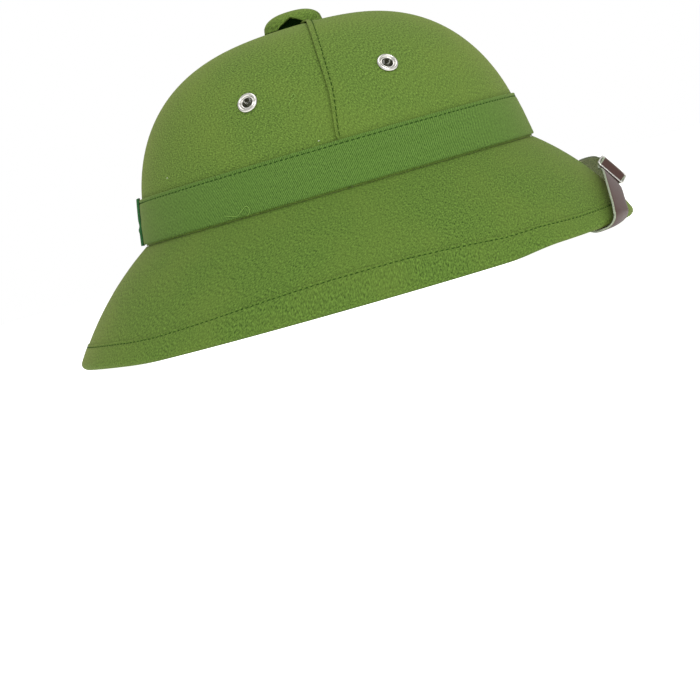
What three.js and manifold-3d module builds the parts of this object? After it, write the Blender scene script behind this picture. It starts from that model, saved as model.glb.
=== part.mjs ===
// Cloth-covered pith sun helmet with a leatherette chin strap.
// Millimetres, +X towards the front, +Y to the wearer's left, +Z up.
// The origin is on the surface that the brim stands on, midway between the tips of the brim.
import * as THREE from "three";
import { mergeVertices } from "three/addons/utils/BufferGeometryUtils.js";
import Module from "manifold-3d";

const wasm = await Module();
wasm.setup();

// Overall form
const BRIM_LENGTH = 330;
const BRIM_WIDTH = 278;
const BRIM_SQUARENESS = 2.1; // 2 is a plain oval
const CROWN_FOOT_HEIGHT = 61.4; // where crown and brim meet
const CROWN_HEIGHT = 97.5; // above that line
const SEAM_X = 11.7; // plane of the ear-to-ear seam and the centre of the vent
const CROWN_FRONT_REACH = 107.3; // from the seam plane
const CROWN_REAR_REACH = 119.7;
const CROWN_WIDTH = 200;
const CROWN_FLARE = 2; // how much the crown widens again at its foot
const DOME_POWERS = { reach: 2.85, height: 2.05 }; // of the superellipse at the sides
const DOME_POWERS_DROP = { reach: 0.15, height: 0.05 }; // less at the front, more at the back
const BRIM_BOW = 3; // how far the brim bulges from a straight slope, at the sides
const BRIM_BOW_FRONT = 1.1; // more at the front, less at the back

// Walls and clearances
const GAP = 0.3;
const CLOTH = 1;
const SHELL_WALL = 2.7;
const SHELL_EDGE_SHARE = 0.83; // last step of the shell's rounded edge, in quarter turns
const HEM_PROUD = 0.5; // second layer of cloth in the hem
const HEM_WIDTH = 15.5; // flat part of the hem, above the rolled rim
const RIM_RADIUS = SHELL_WALL / 2 + GAP + CLOTH + HEM_PROUD;
const RIM_FLAT_ANGLE = THREE.MathUtils.degToRad(20); // half of the flat foot under the rim

// Rise of the rim towards its two tips
const FRONT_FLAT_X = 80;
const FRONT_RISE_LENGTH = 32;
const FRONT_RISE = 2.2;
const FRONT_TIP_RISE = 0.4;
const REAR_FLAT_X = 115;
const REAR_RISE = 3;

// Band
const BAND_HEIGHT = 26.5;
const BAND_THICKNESS = 1.3;
const BAND_FOLD = 0.25; // height of the soft folds round the band
const BAND_FOLD_COUNT = 3; // folds round the helmet
const BAND_FOLD_SLANT = 9; // radians of a fold from the band's top to its foot
const TAB_WIDTH = 12;
const TAB_THICKNESS = 1.4;
const TAB_RISE = 1; // the tab stands this far above the band

// Lapped crown seam
const SEAM_GAP = 0.4;
const LAP_BACK = 1.3; // over the rear panel
const LAP_FRONT = 2.3; // folded allowance in front of the seam
const LAP_THICKNESS = 0.9;
const LAP_BACK_SHARE = 0.85; // of its thickness at the rear edge
const LAP_FRONT_SHARE = 0.6; // and where it runs out on the front panel

// Ventilation
const VENT_HOLE_RADIUS = 8;
const VENT_CAP_LENGTH = 34.7;
const VENT_CAP_WIDTH = 30;
const VENT_CAP_HEIGHT = 9.2;
const VENT_CAP_WALL = 1.8;
const VENT_CAP_SHIFT = -5.6; // its middle, from the seam plane
const VENT_MOUTH_LENGTH = 19.6;
const VENT_MOUTH_HEIGHT = 6.2;
const VENT_MOUTH_SHIFT = -0.8; // middle of the side mouths, from the middle of the cap
const VENT_WEB = 2.4; // upright web between the two side mouths
const VENT_WEB_LENGTH = 29.8;
const VENT_WEB_HEIGHT = 8.3;
const VENT_CAP_POWERS = { reach: 2.6, height: 2.2 }; // of the superellipse of its dome
const EYELET_HEIGHT = 60; // above the crown's foot
const EYELET_FRONT_REACH = 37.5; // from the seam plane
const EYELET_REAR_REACH = 42;
const EYELET_RADIUS = 5.75;
const EYELET_BACK_RADIUS = 4.9;
const EYELET_BARREL = 3.3;
const EYELET_BORE = 2.75;
const EYELET_RISE = 1.1;
const EYELET_GAP = 0.45;
const EYELET_BACK_GAP = 0.7; // the turned flange spans facets that bend towards it

// Chin strap and its buckle
const STRAP_WIDTH = 14.5;
const STRAP_THICKNESS = 1.3;
const STRAP_GAP = 0.55; // over the hem, where its flat facets bend round the rim
const STRAP_PEAK = -15; // along the rim from the front tip, minus is the wearer's left
const STRAP_RUN = 90; // along the rim from the peak to where each half crosses it
const STRAP_CLIMB = 26; // up the brim from the rim to the peak
const STRAP_CLIMB_POWER = 1.5;
const STRAP_ARCH = 4.8; // the strap's arch above the brim at its peak
const STRAP_TUCK_ANGLE = THREE.MathUtils.degToRad(130); // how far round the rim it wraps
const STRAP_TUCK_HEADING = THREE.MathUtils.degToRad(50);
const TWIST_SHARE = 0.8; // of its free run, in which the strap turns to lie flat on the wall
const ANCHOR_X = 14;
const ANCHOR_HEIGHT = 8; // above the crown's foot
const ANCHOR_END = 6; // strap beyond the rivet
const ANCHOR_GAP = 2; // the flat end of the strap leans off the curved wall
const RIVET_HEAD_RADIUS = 3.4;
const RIVET_SEAT = 0.75; // between head and strap, which lean a little apart
const RIVET_HEAD = 1.2;
const RIVET_CROWN_SHARE = 0.7; // flat middle of the domed head
const RIVET_SHANK_RADIUS = 1.6;
const RIVET_DEPTH = 1.6; // into the shell
const BUCKLE_WIRE = 0.6; // radius
const BUCKLE_LENGTH = 13; // along the strap, between wire centres
const BUCKLE_WIDTH = 17.6; // across the strap, between wire centres
const BUCKLE_PLACE = 6; // along the rim from the front tip, towards the wearer's right
const BUCKLE_CORNER = 1.6;

// Fineness of the facets
const COLUMNS = 48;
const EYELET_SIDES = 12;
const RIVET_SIDES = 10;
const WIRE_SIDES = 6;
const VENT_CAP_SIDES = 16;
const VENT_MOUTH_STEPS = 5; // along each shoulder of its arch
const STRAP_STEPS = 18; // over the brim
const WEAVE_STEPS = 8; // through the buckle
const STRAP_TUCK_STEPS = 8;
const STRAP_FREE_STEPS = 6;

// Rounds of the two searches, and the small step over which a slope is taken
const TANGENT_PASSES = 8;
const PLACE_PASSES = 40;
const NUDGE = 0.01;

const HALF_TURN = Math.PI;
const QUARTER_TURN = Math.PI / 2;
const lerp = THREE.MathUtils.lerp;
const smoothstep = THREE.MathUtils.smoothstep;

const FINISHES = {
  cloth: { color: 0x6c8a3f, roughness: 0.9, metalness: 0 },
  band: { color: 0x5a7a37, roughness: 0.9, metalness: 0 },
  pith: { color: 0x8d8f7a, roughness: 0.95, metalness: 0 },
  leatherette: { color: 0x4a3733, roughness: 0.4, metalness: 0 },
  nickel: { color: 0xc9c9c6, roughness: 0.25, metalness: 1 },
};

// Crown

function crownReach(angle) {
  const along = Math.cos(angle) > 0 ? CROWN_FRONT_REACH : CROWN_REAR_REACH;
  return 1 / Math.hypot(Math.cos(angle) / along, Math.sin(angle) / (CROWN_WIDTH / 2));
}

// The dome's profile is a superellipse, a little fuller at the back.
function domePowers(angle) {
  const forward = Math.cos(angle);
  return {
    reach: DOME_POWERS.reach - DOME_POWERS_DROP.reach * forward,
    height: DOME_POWERS.height - DOME_POWERS_DROP.height * forward,
  };
}

function domeHeight(angle, reachShare) {
  const power = domePowers(angle);
  return CROWN_HEIGHT * (1 - reachShare ** power.reach) ** (1 / power.height);
}

function domeReachShare(angle, height) {
  const power = domePowers(angle);
  return (1 - (height / CROWN_HEIGHT) ** power.height) ** (1 / power.reach);
}

function crownPoint(angle, height) {
  const flare = CROWN_FLARE * Math.max(0, 1 - height / BAND_HEIGHT) ** 2;
  return { r: crownReach(angle) * domeReachShare(angle, height) + flare, z: CROWN_FOOT_HEIGHT + height };
}

// Brim

function brimReach(angle) {
  const tip = BRIM_LENGTH / 2;
  const along = Math.cos(angle) > 0 ? tip - SEAM_X : tip + SEAM_X;
  const forward = Math.abs(Math.cos(angle) / along) ** BRIM_SQUARENESS;
  const sideways = Math.abs(Math.sin(angle) / (BRIM_WIDTH / 2)) ** BRIM_SQUARENESS;
  return (forward + sideways) ** (-1 / BRIM_SQUARENESS);
}

function rimRise(x) {
  const tip = BRIM_LENGTH / 2;
  const front = FRONT_RISE * smoothstep(x, FRONT_FLAT_X, FRONT_FLAT_X + FRONT_RISE_LENGTH)
    + FRONT_TIP_RISE * smoothstep(x, FRONT_FLAT_X + FRONT_RISE_LENGTH, tip);
  return front + REAR_RISE * smoothstep(-x, REAR_FLAT_X, tip);
}

// The rolled rim is an arc about `centre`; the brim's skin meets it at the angle `tangent`.
// Between the crown's foot and the roll the skin is one shallow bow.
function brimProfile(angle) {
  const reach = brimReach(angle);
  const rise = rimRise(SEAM_X + reach * Math.cos(angle));
  const centre = { r: reach - RIM_RADIUS, z: rise + RIM_RADIUS * Math.cos(RIM_FLAT_ANGLE) };
  const start = crownPoint(angle, 0);
  const bow = BRIM_BOW + BRIM_BOW_FRONT * Math.cos(angle);
  const skinRadius = RIM_RADIUS - HEM_PROUD;
  let tangent = QUARTER_TURN / 2;
  let end = centre;
  let middle = centre;
  for (let pass = 0; pass < TANGENT_PASSES; pass += 1) {
    end = {
      r: centre.r + skinRadius * Math.cos(tangent),
      z: centre.z + skinRadius * Math.sin(tangent),
    };
    const length = Math.hypot(end.r - start.r, start.z - end.z);
    middle = {
      r: (start.r + end.r) / 2 + (bow * (start.z - end.z)) / length,
      z: (start.z + end.z) / 2 + (bow * (end.r - start.r)) / length,
    };
    tangent = Math.atan2(end.r - middle.r, middle.z - end.z);
  }
  const slope = Math.hypot(end.r - start.r, start.z - end.z);
  return { centre, start, middle, end, tangent, slope, skinRadius };
}

function bowPoint(profile, share) {
  const { start, middle, end } = profile;
  const a = (1 - share) ** 2;
  const b = 2 * share * (1 - share);
  const c = share ** 2;
  return { r: a * start.r + b * middle.r + c * end.r, z: a * start.z + b * middle.z + c * end.z };
}

// Sections

// Share of the crown's reach at each row of facets, from the vent hole down to the band.
const CROWN_ROW_SHARES = [0.3, 0.52, 0.7, 0.83, 0.925];
// Share of the band's height at each row under its top edge.
const BAND_ROW_SHARES = [1, 0.5];
// Share of the brim between the crown's foot and the hem.
const BRIM_ROW_SHARES = [0.5, 1];

const ROW_BAND_TOP = 1 + CROWN_ROW_SHARES.length;
const ROW_CORNER = ROW_BAND_TOP + BAND_ROW_SHARES.length;
const ROW_HEM = ROW_CORNER + BRIM_ROW_SHARES.length;
const ROW_RIM = ROW_HEM + 1;

// The cloth's outer skin at one angle round the crown, as points with normals.
// A normal is lengthened at a corner, so that every layer below keeps its thickness.
function skinSection(angle) {
  const profile = brimProfile(angle);
  const points = [];
  const holeShare = VENT_HOLE_RADIUS / crownReach(angle);
  for (const share of [holeShare, ...CROWN_ROW_SHARES]) {
    points.push({ r: crownReach(angle) * share, z: CROWN_FOOT_HEIGHT + domeHeight(angle, share) });
  }
  for (const share of BAND_ROW_SHARES) {
    points.push(crownPoint(angle, share * BAND_HEIGHT));
  }
  points.push(profile.start);
  const hemShare = 1 - HEM_WIDTH / profile.slope;
  for (const share of BRIM_ROW_SHARES) {
    points.push(bowPoint(profile, share * hemShare));
  }
  points.push(profile.end);

  const edges = points.slice(1).map((point, i) => {
    const length = Math.hypot(point.r - points[i].r, point.z - points[i].z);
    return { r: (points[i].z - point.z) / length, z: (point.r - points[i].r) / length };
  });
  edges.push({ r: Math.cos(profile.tangent), z: Math.sin(profile.tangent) });
  const normals = points.map((_, i) => {
    const before = edges[Math.max(0, i - 1)];
    const after = edges[i];
    const sum = { r: before.r + after.r, z: before.z + after.z };
    const scale = 2 / (sum.r ** 2 + sum.z ** 2);
    return { r: sum.r * scale, z: sum.z * scale };
  });
  normals[ROW_RIM] = edges[ROW_RIM];
  return { angle, profile, points, normals };
}

function place(angle, r, z) {
  return new THREE.Vector3(SEAM_X + r * Math.cos(angle), r * Math.sin(angle), z);
}

// A point at `row` of a section, which may lie between two rows, and `offset` outside the skin.
function layerPoint(section, row, offset) {
  const low = Math.min(Math.floor(row), section.points.length - 1);
  const high = Math.min(low + 1, section.points.length - 1);
  const at = (i) => ({
    r: section.points[i].r + offset * section.normals[i].r,
    z: section.points[i].z + offset * section.normals[i].z,
  });
  const a = at(low);
  const b = at(high);
  return place(section.angle, lerp(a.r, b.r, row - low), lerp(a.z, b.z, row - low));
}

function rollPoint(section, angle, radius) {
  const { centre } = section.profile;
  return place(section.angle, centre.r + radius * Math.cos(angle), centre.z + radius * Math.sin(angle));
}

const sections = [];
for (let i = 0; i < COLUMNS; i += 1) {
  sections.push(skinSection((i / COLUMNS) * 2 * HALF_TURN));
}
const section = (i) => sections[((i % COLUMNS) + COLUMNS) % COLUMNS];

// Solids

// A closed wall from stations of paired points: `outer` on one face, `inner` on the other.
function wallGeometry(stations, closed) {
  const across = stations[0].outer.length;
  const loop = 2 * across;
  const vertices = [];
  for (const station of stations) {
    for (const point of [...station.outer, ...[...station.inner].reverse()]) {
      vertices.push(point.x, point.y, point.z);
    }
  }
  const index = [];
  const quad = (a, b, c, d) => index.push(a, b, c, a, c, d);
  const last = closed ? stations.length : stations.length - 1;
  for (let i = 0; i < last; i += 1) {
    const here = i * loop;
    const next = ((i + 1) % stations.length) * loop;
    for (let j = 0; j < loop; j += 1) {
      const k = (j + 1) % loop;
      quad(here + j, next + j, next + k, here + k);
    }
  }
  if (!closed) {
    const end = (stations.length - 1) * loop;
    for (let j = 0; j < across - 1; j += 1) {
      quad(j, j + 1, loop - 2 - j, loop - 1 - j);
      quad(end + j, end + loop - 1 - j, end + loop - 2 - j, end + j + 1);
    }
  }
  const geometry = new THREE.BufferGeometry();
  geometry.setAttribute("position", new THREE.Float32BufferAttribute(vertices, 3));
  geometry.setIndex(index);
  return geometry;
}

function signedVolume(positions, index) {
  const at = (i) => new THREE.Vector3().fromArray(positions, 3 * i);
  let sum = 0;
  for (let i = 0; i < index.length; i += 3) {
    sum += at(index[i]).dot(at(index[i + 1]).cross(at(index[i + 2]))) / 6;
  }
  return sum;
}

// Vertices merged, slivers on an axis dropped and faces turned outwards.
function closedGeometry(geometry) {
  const bare = geometry.clone();
  bare.deleteAttribute("normal");
  bare.deleteAttribute("uv");
  const merged = mergeVertices(bare, 1e-4);
  const positions = merged.attributes.position.array;
  let index = [];
  for (let i = 0; i < merged.index.count; i += 3) {
    const [a, b, c] = [0, 1, 2].map((k) => merged.index.getX(i + k));
    if (a !== b && b !== c && c !== a) {
      index.push(a, b, c);
    }
  }
  if (signedVolume(positions, index) < 0) {
    index = index.reverse();
  }
  merged.setIndex(index);
  return merged;
}

function toSolid(geometry) {
  const closed = closedGeometry(geometry);
  return new wasm.Manifold(new wasm.Mesh({
    numProp: 3,
    vertProperties: new Float32Array(closed.attributes.position.array),
    triVerts: new Uint32Array(closed.index.array),
  }));
}

function fromSolid(solid) {
  const mesh = solid.getMesh();
  const geometry = new THREE.BufferGeometry();
  geometry.setAttribute("position", new THREE.Float32BufferAttribute(mesh.vertProperties, 3));
  geometry.setIndex([...mesh.triVerts]);
  return geometry;
}

const helmet = new THREE.Group();

function addPiece(name, geometry, finish) {
  const shown = closedGeometry(geometry);
  shown.computeVertexNormals();
  const mesh = new THREE.Mesh(shown, new THREE.MeshStandardMaterial(FINISHES[finish]));
  mesh.name = name;
  helmet.add(mesh);
  return mesh;
}

// Frame of a fastener: its Y axis points along `normal`, away from the crown.
function fastenerMatrix(point, normal) {
  const turn = new THREE.Quaternion().setFromUnitVectors(new THREE.Vector3(0, 1, 0), normal);
  return new THREE.Matrix4().compose(point, turn, new THREE.Vector3(1, 1, 1));
}

function rod(radius, from, to, sides, matrix) {
  const geometry = new THREE.CylinderGeometry(radius, radius, to - from, sides);
  return geometry.translate(0, (from + to) / 2, 0).applyMatrix4(matrix);
}

// Places on the crown

// Point of the crown's skin at a reach `x` from the seam plane, on one side, with its normal.
function crownPlace(x, height, side) {
  let low = 0;
  let high = HALF_TURN;
  for (let pass = 0; pass < PLACE_PASSES; pass += 1) {
    const middle = (low + high) / 2;
    const reach = crownPoint(middle, height).r * Math.cos(middle);
    [low, high] = reach > x ? [middle, high] : [low, middle];
  }
  const angle = side * low;
  const at = (turn, rise) => {
    const point = crownPoint(angle + turn, height + rise);
    return place(angle + turn, point.r, point.z);
  };
  const round = at(NUDGE, 0).sub(at(-NUDGE, 0));
  const up = at(0, 1).sub(at(0, -1));
  const normal = round.cross(up).normalize();
  return { point: facetPoint(angle, CROWN_FOOT_HEIGHT + height), normal };
}

// The point of the faceted skin at one angle and height, between the two nearest columns.
function facetPoint(angle, z) {
  const column = (angle / (2 * HALF_TURN)) * COLUMNS;
  const low = Math.floor(column);
  const [a, b] = [low, low + 1].map((i) => {
    const here = section(i);
    const row = here.points.findIndex((point) => point.z < z) - 1;
    const [above, below] = [here.points[row].z, here.points[row + 1].z];
    return layerPoint(here, row + (above - z) / (above - below), 0);
  });
  return a.lerp(b, column - low);
}

const SIDES = { right: -1, left: 1 };
const EYELET_REACHES = { front: EYELET_FRONT_REACH, rear: -EYELET_REAR_REACH };
const eyelets = [];
for (const [sideName, side] of Object.entries(SIDES)) {
  for (const [endName, reach] of Object.entries(EYELET_REACHES)) {
    const { point, normal } = crownPlace(reach, EYELET_HEIGHT, side);
    eyelets.push({
      name: `eyelet_${endName}_${sideName}`,
      end: endName,
      matrix: fastenerMatrix(point, normal),
    });
  }
}

const WALL_DEPTH = CLOTH + GAP + SHELL_WALL;
const CUTTER_REACH = 3; // how far a cutting shape stands out of what it cuts

function eyeletHole(eyelet) {
  return toSolid(rod(EYELET_BARREL + GAP, -WALL_DEPTH - CUTTER_REACH, CUTTER_REACH, EYELET_SIDES, eyelet.matrix));
}

// Each eyelet is a flange outside, a barrel through the wall and a smaller turned flange inside.
function eyeletGeometry(eyelet) {
  const back = -WALL_DEPTH - EYELET_BACK_GAP;
  const profile = [
    [EYELET_BORE, EYELET_GAP + EYELET_RISE / 2],
    [(EYELET_BORE + EYELET_RADIUS) / 2, EYELET_GAP + EYELET_RISE],
    [EYELET_RADIUS, EYELET_GAP + EYELET_RISE / 2],
    [EYELET_RADIUS, EYELET_GAP],
    [EYELET_BARREL, EYELET_GAP],
    [EYELET_BARREL, back],
    [EYELET_BACK_RADIUS, back],
    [EYELET_BACK_RADIUS, back - EYELET_RISE / 3],
    [EYELET_BORE, back - EYELET_RISE / 2],
  ];
  profile.push(profile[0]);
  const points = profile.map(([radius, rise]) => new THREE.Vector2(radius, rise));
  return new THREE.LatheGeometry(points, EYELET_SIDES).applyMatrix4(eyelet.matrix);
}

// Strap route

// Distance along the rim from the front tip, for angles round the crown.
const RIM_STEPS = 240;
const rimLengths = [0];
for (let i = 1; i <= RIM_STEPS; i += 1) {
  const [a, b] = [i - 1, i].map((k) => {
    const angle = (k / RIM_STEPS) * HALF_TURN;
    return place(angle, brimReach(angle), 0);
  });
  rimLengths.push(rimLengths[i - 1] + a.distanceTo(b));
}

// Angle at a distance along the rim; a plus distance goes to the wearer's right.
function rimAngle(along) {
  const length = Math.abs(along);
  const i = rimLengths.findIndex((value) => value > length) - 1;
  const share = (length - rimLengths[i]) / (rimLengths[i + 1] - rimLengths[i]);
  return (-Math.sign(along) * (i + share) * HALF_TURN) / RIM_STEPS;
}

// Height of the strap's middle above the skin where it lies on the hem.
const STRAP_SEAT = HEM_PROUD + STRAP_GAP + STRAP_THICKNESS / 2;

// A point of the strap: `along` the rim, `down` past the rim's tangent line and `height` off the skin.
// Up the brim it follows the bow, then the roll, and past the tuck a straight line off the roll.
function strapPoint(along, down, height) {
  const angle = rimAngle(along);
  const profile = brimProfile(angle);
  if (down < 0) {
    const share = 1 + down / profile.slope;
    const here = bowPoint(profile, share);
    const next = bowPoint(profile, share + NUDGE);
    const length = Math.hypot(next.r - here.r, next.z - here.z);
    return place(
      angle,
      here.r + (height * (here.z - next.z)) / length,
      here.z + (height * (next.r - here.r)) / length,
    );
  }
  const radius = profile.skinRadius + height;
  const wrapped = Math.min(profile.tangent + STRAP_TUCK_ANGLE, down / (profile.skinRadius + STRAP_SEAT));
  const turn = profile.tangent - wrapped;
  const beyond = down - wrapped * (profile.skinRadius + STRAP_SEAT);
  return place(
    angle,
    profile.centre.r + radius * Math.cos(turn) + beyond * Math.sin(turn),
    profile.centre.z + radius * Math.sin(turn) - beyond * Math.cos(turn),
  );
}

// The strap's middle line over the brim, as its place at a distance along the rim.
function strapLine(along) {
  const share = Math.min(1, Math.abs(along - STRAP_PEAK) / STRAP_RUN);
  const down = -STRAP_CLIMB * (1 - share ** STRAP_CLIMB_POWER);
  const fall = (Math.sign(along - STRAP_PEAK) * STRAP_CLIMB * STRAP_CLIMB_POWER
    * share ** (STRAP_CLIMB_POWER - 1)) / STRAP_RUN;
  return { down, fall, height: STRAP_SEAT + STRAP_ARCH * (1 - share ** 2) };
}

// The strap passes under the buckle's ends and over its middle bar.
const WEAVE = 2 * (BUCKLE_WIRE + GAP + STRAP_THICKNESS / 2);

function weaveHeight(along) {
  const reach = BUCKLE_LENGTH / 2 - BUCKLE_WIRE - GAP;
  const share = Math.min(1, Math.abs(along - BUCKLE_PLACE) / reach);
  return WEAVE * Math.cos(share * QUARTER_TURN) ** 2;
}

// Shares of the strap's width, close enough together to bend round the rolled rim.
const STRAP_MIDDLE = 3;
const STRAP_EDGE = 2 * STRAP_MIDDLE;
const STRAP_ACROSS = [];
for (let i = 0; i <= STRAP_EDGE; i += 1) {
  STRAP_ACROSS.push(i / STRAP_EDGE - 0.5);
}

function strapStation(along, down, fall, height) {
  const length = Math.hypot(1, fall);
  const face = (lift) => STRAP_ACROSS.map((share) => {
    const step = share * STRAP_WIDTH;
    return strapPoint(along - (step * fall) / length, down + step / length, height + lift);
  });
  return { outer: face(STRAP_THICKNESS / 2), inner: face(-STRAP_THICKNESS / 2) };
}

// Half of the strap under the brim: round the rim and then straight to its anchor inside the crown.
function hiddenStrap(side, anchor) {
  const stations = [];
  const start = STRAP_PEAK - side * STRAP_RUN;
  const crossing = Math.atan(Math.abs(strapLine(start).fall));
  let along = start;
  let down = 0;
  const profile = brimProfile(rimAngle(start));
  const wrapLength = (profile.tangent + STRAP_TUCK_ANGLE) * (profile.skinRadius + STRAP_SEAT);
  const departure = wrapLength + STRAP_WIDTH / 2;
  for (let i = 1; i <= STRAP_TUCK_STEPS; i += 1) {
    const share = i / STRAP_TUCK_STEPS;
    const heading = lerp(crossing, STRAP_TUCK_HEADING, share);
    along -= (side * departure) / STRAP_TUCK_STEPS / Math.tan(heading);
    down = departure * share;
    stations.push(strapStation(along, down, -side * Math.tan(heading), STRAP_SEAT));
  }

  const middle = (station) => station.outer[STRAP_MIDDLE].clone()
    .add(station.inner[STRAP_MIDDLE]).multiplyScalar(0.5);
  const lastStation = stations[stations.length - 1];
  const from = middle(lastStation);
  const leave = from.clone().sub(middle(stations[stations.length - 2])).normalize();
  const acrossStart = lastStation.outer[STRAP_EDGE].clone().sub(lastStation.outer[0]).normalize();
  const straight = anchor.point.clone().sub(from).normalize();
  const to = anchor.point.clone().addScaledVector(straight, ANCHOR_END);
  const acrossEnd = side > 0
    ? anchor.normal.clone().cross(straight)
    : straight.clone().cross(anchor.normal);
  const reach = to.distanceTo(from) / 3;
  const curve = new THREE.CubicBezierCurve3(
    from,
    from.clone().addScaledVector(leave, reach),
    to.clone().addScaledVector(straight, -reach),
    to,
  );
  for (let i = 1; i <= STRAP_FREE_STEPS; i += 1) {
    const share = i / STRAP_FREE_STEPS;
    const tangent = curve.getTangent(share);
    const across = acrossStart.clone().lerp(acrossEnd, smoothstep(share, 0, TWIST_SHARE));
    across.addScaledVector(tangent, -across.dot(tangent)).normalize();
    const normal = side < 0 ? tangent.clone().cross(across) : across.clone().cross(tangent);
    const face = (lift) => STRAP_ACROSS.map((part) => curve.getPoint(share)
      .addScaledVector(across, part * STRAP_WIDTH).addScaledVector(normal, lift));
    stations.push({ outer: face(STRAP_THICKNESS / 2), inner: face(-STRAP_THICKNESS / 2) });
  }
  return stations;
}

// The strap's end lies on the inner face of the crown, held by a rivet.
function strapAnchor(side) {
  const { point, normal } = crownPlace(ANCHOR_X - SEAM_X, ANCHOR_HEIGHT, side);
  const depth = WALL_DEPTH + ANCHOR_GAP + STRAP_THICKNESS / 2;
  return { point: point.clone().addScaledVector(normal, -depth), normal, wall: point };
}

const anchors = {};
for (const [sideName, side] of Object.entries(SIDES)) {
  const anchor = strapAnchor(side);
  anchors[sideName] = { ...anchor, side, matrix: fastenerMatrix(anchor.wall, anchor.normal) };
}

function strapGeometry() {
  const places = [];
  for (let i = 0; i <= STRAP_STEPS; i += 1) {
    const along = STRAP_PEAK + STRAP_RUN * (1 - (2 * i) / STRAP_STEPS);
    if (Math.abs(along - BUCKLE_PLACE) > BUCKLE_LENGTH / 2 + BUCKLE_WIRE) {
      places.push(along);
    }
  }
  for (let i = 0; i <= WEAVE_STEPS; i += 1) {
    places.push(BUCKLE_PLACE + BUCKLE_LENGTH * (i / WEAVE_STEPS - 0.5));
  }
  places.sort((a, b) => b - a);
  const stations = places.map((along) => {
    const { down, fall, height } = strapLine(along);
    return strapStation(along, down, fall, height + weaveHeight(along));
  });
  const right = hiddenStrap(SIDES.right, anchors.right).reverse();
  const left = hiddenStrap(SIDES.left, anchors.left);
  return wallGeometry([...right, ...stations, ...left], false);
}

// Rivet: a head inside the strap and a shank through it into the shell's inner face.
function rivetGeometry(anchor) {
  const strapBack = -(WALL_DEPTH + ANCHOR_GAP + STRAP_THICKNESS + RIVET_SEAT);
  const tip = -(WALL_DEPTH - RIVET_DEPTH);
  const profile = [
    [0, strapBack - RIVET_HEAD],
    [RIVET_HEAD_RADIUS * RIVET_CROWN_SHARE, strapBack - RIVET_HEAD],
    [RIVET_HEAD_RADIUS, strapBack - RIVET_HEAD / 2],
    [RIVET_HEAD_RADIUS, strapBack],
    [RIVET_SHANK_RADIUS, strapBack],
    [RIVET_SHANK_RADIUS, tip],
    [0, tip],
  ];
  const points = profile.map(([radius, rise]) => new THREE.Vector2(radius, rise));
  return new THREE.LatheGeometry(points, RIVET_SIDES).applyMatrix4(anchor.matrix);
}

function rivetHole(anchor) {
  const from = -(WALL_DEPTH + ANCHOR_GAP + STRAP_THICKNESS) - CUTTER_REACH;
  const to = -(WALL_DEPTH - RIVET_DEPTH) + GAP;
  return toSolid(rod(RIVET_SHANK_RADIUS + GAP, from, to, RIVET_SIDES, anchor.matrix));
}

// Pieces

function buildShell() {
  const outside = -(CLOTH + GAP);
  const inside = outside - SHELL_WALL;
  const roundEnd = [QUARTER_TURN / 2, QUARTER_TURN * SHELL_EDGE_SHARE];
  const stations = sections.map((here) => {
    const rows = here.points.map((_, row) => row);
    const { tangent } = here.profile;
    const radius = SHELL_WALL / 2;
    return {
      outer: [
        ...rows.map((row) => layerPoint(here, row, outside)),
        ...roundEnd.map((turn) => rollPoint(here, tangent - turn, radius)),
      ],
      inner: [
        ...rows.map((row) => layerPoint(here, row, inside)),
        ...roundEnd.map((turn) => rollPoint(here, tangent - HALF_TURN + turn, radius)),
      ],
    };
  });
  let solid = toSolid(wallGeometry(stations, true));
  for (const eyelet of eyelets) {
    solid = solid.subtract(eyeletHole(eyelet));
  }
  for (const anchor of Object.values(anchors)) {
    solid = solid.subtract(rivetHole(anchor));
  }
  addPiece("shell", fromSolid(solid), "pith");
}

// Cloth edges that lie between two rows of facets, in rows.
const ROW_CROWN_CLOTH_END = ROW_CORNER - 0.2;
const ROW_BRIM_CLOTH_START = ROW_CORNER + 0.12;
const ROW_BRIM_CLOTH_END = ROW_HEM - 0.012;
const ROW_LAP_END = ROW_BAND_TOP - 0.06;
const ROW_TAB_START = ROW_BAND_TOP - 0.1;
const ROW_TAB_END = ROW_CORNER - 0.05;

function crownPanel(firstColumn, seamShift) {
  const rows = [];
  for (let row = 0; row < ROW_CORNER; row += 1) {
    rows.push(row);
  }
  rows.push(ROW_CROWN_CLOTH_END);
  const stations = [];
  for (let i = 0; i <= COLUMNS / 2; i += 1) {
    const here = section(firstColumn + i);
    const edge = i === 0 || i === COLUMNS / 2;
    const face = (offset) => rows.map((row) => {
      const point = layerPoint(here, row, offset);
      return edge ? point.setX(SEAM_X + seamShift) : point;
    });
    stations.push({ outer: face(0), inner: face(-CLOTH) });
  }
  return toSolid(wallGeometry(stations, false));
}

// The folded edge of the front panel: it lies over the rear panel and is joined to the front one.
function lapSolid(side) {
  const here = section((side * COLUMNS) / 4);
  const edgeShift = SEAM_GAP / 2;
  const face = (steps) => (row) => steps.map(([shift, offset]) => {
    const point = layerPoint(here, row, offset);
    return point.setX(SEAM_X + shift);
  });
  const top = GAP + LAP_THICKNESS;
  const outer = face([
    [-LAP_BACK, top * LAP_BACK_SHARE],
    [-edgeShift, top],
    [edgeShift, top],
    [LAP_FRONT, top * LAP_FRONT_SHARE],
  ]);
  const inner = face([
    [-LAP_BACK, GAP],
    [-edgeShift / 2, GAP],
    [edgeShift + SEAM_GAP / 4, -CLOTH / 2],
    [LAP_FRONT, -CLOTH / 2],
  ]);
  const stations = [];
  for (let row = 0; row < ROW_BAND_TOP; row += 1) {
    stations.push({ outer: outer(row), inner: inner(row) });
  }
  stations.push({ outer: outer(ROW_LAP_END), inner: inner(ROW_LAP_END) });
  return toSolid(wallGeometry(stations, false));
}

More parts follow.
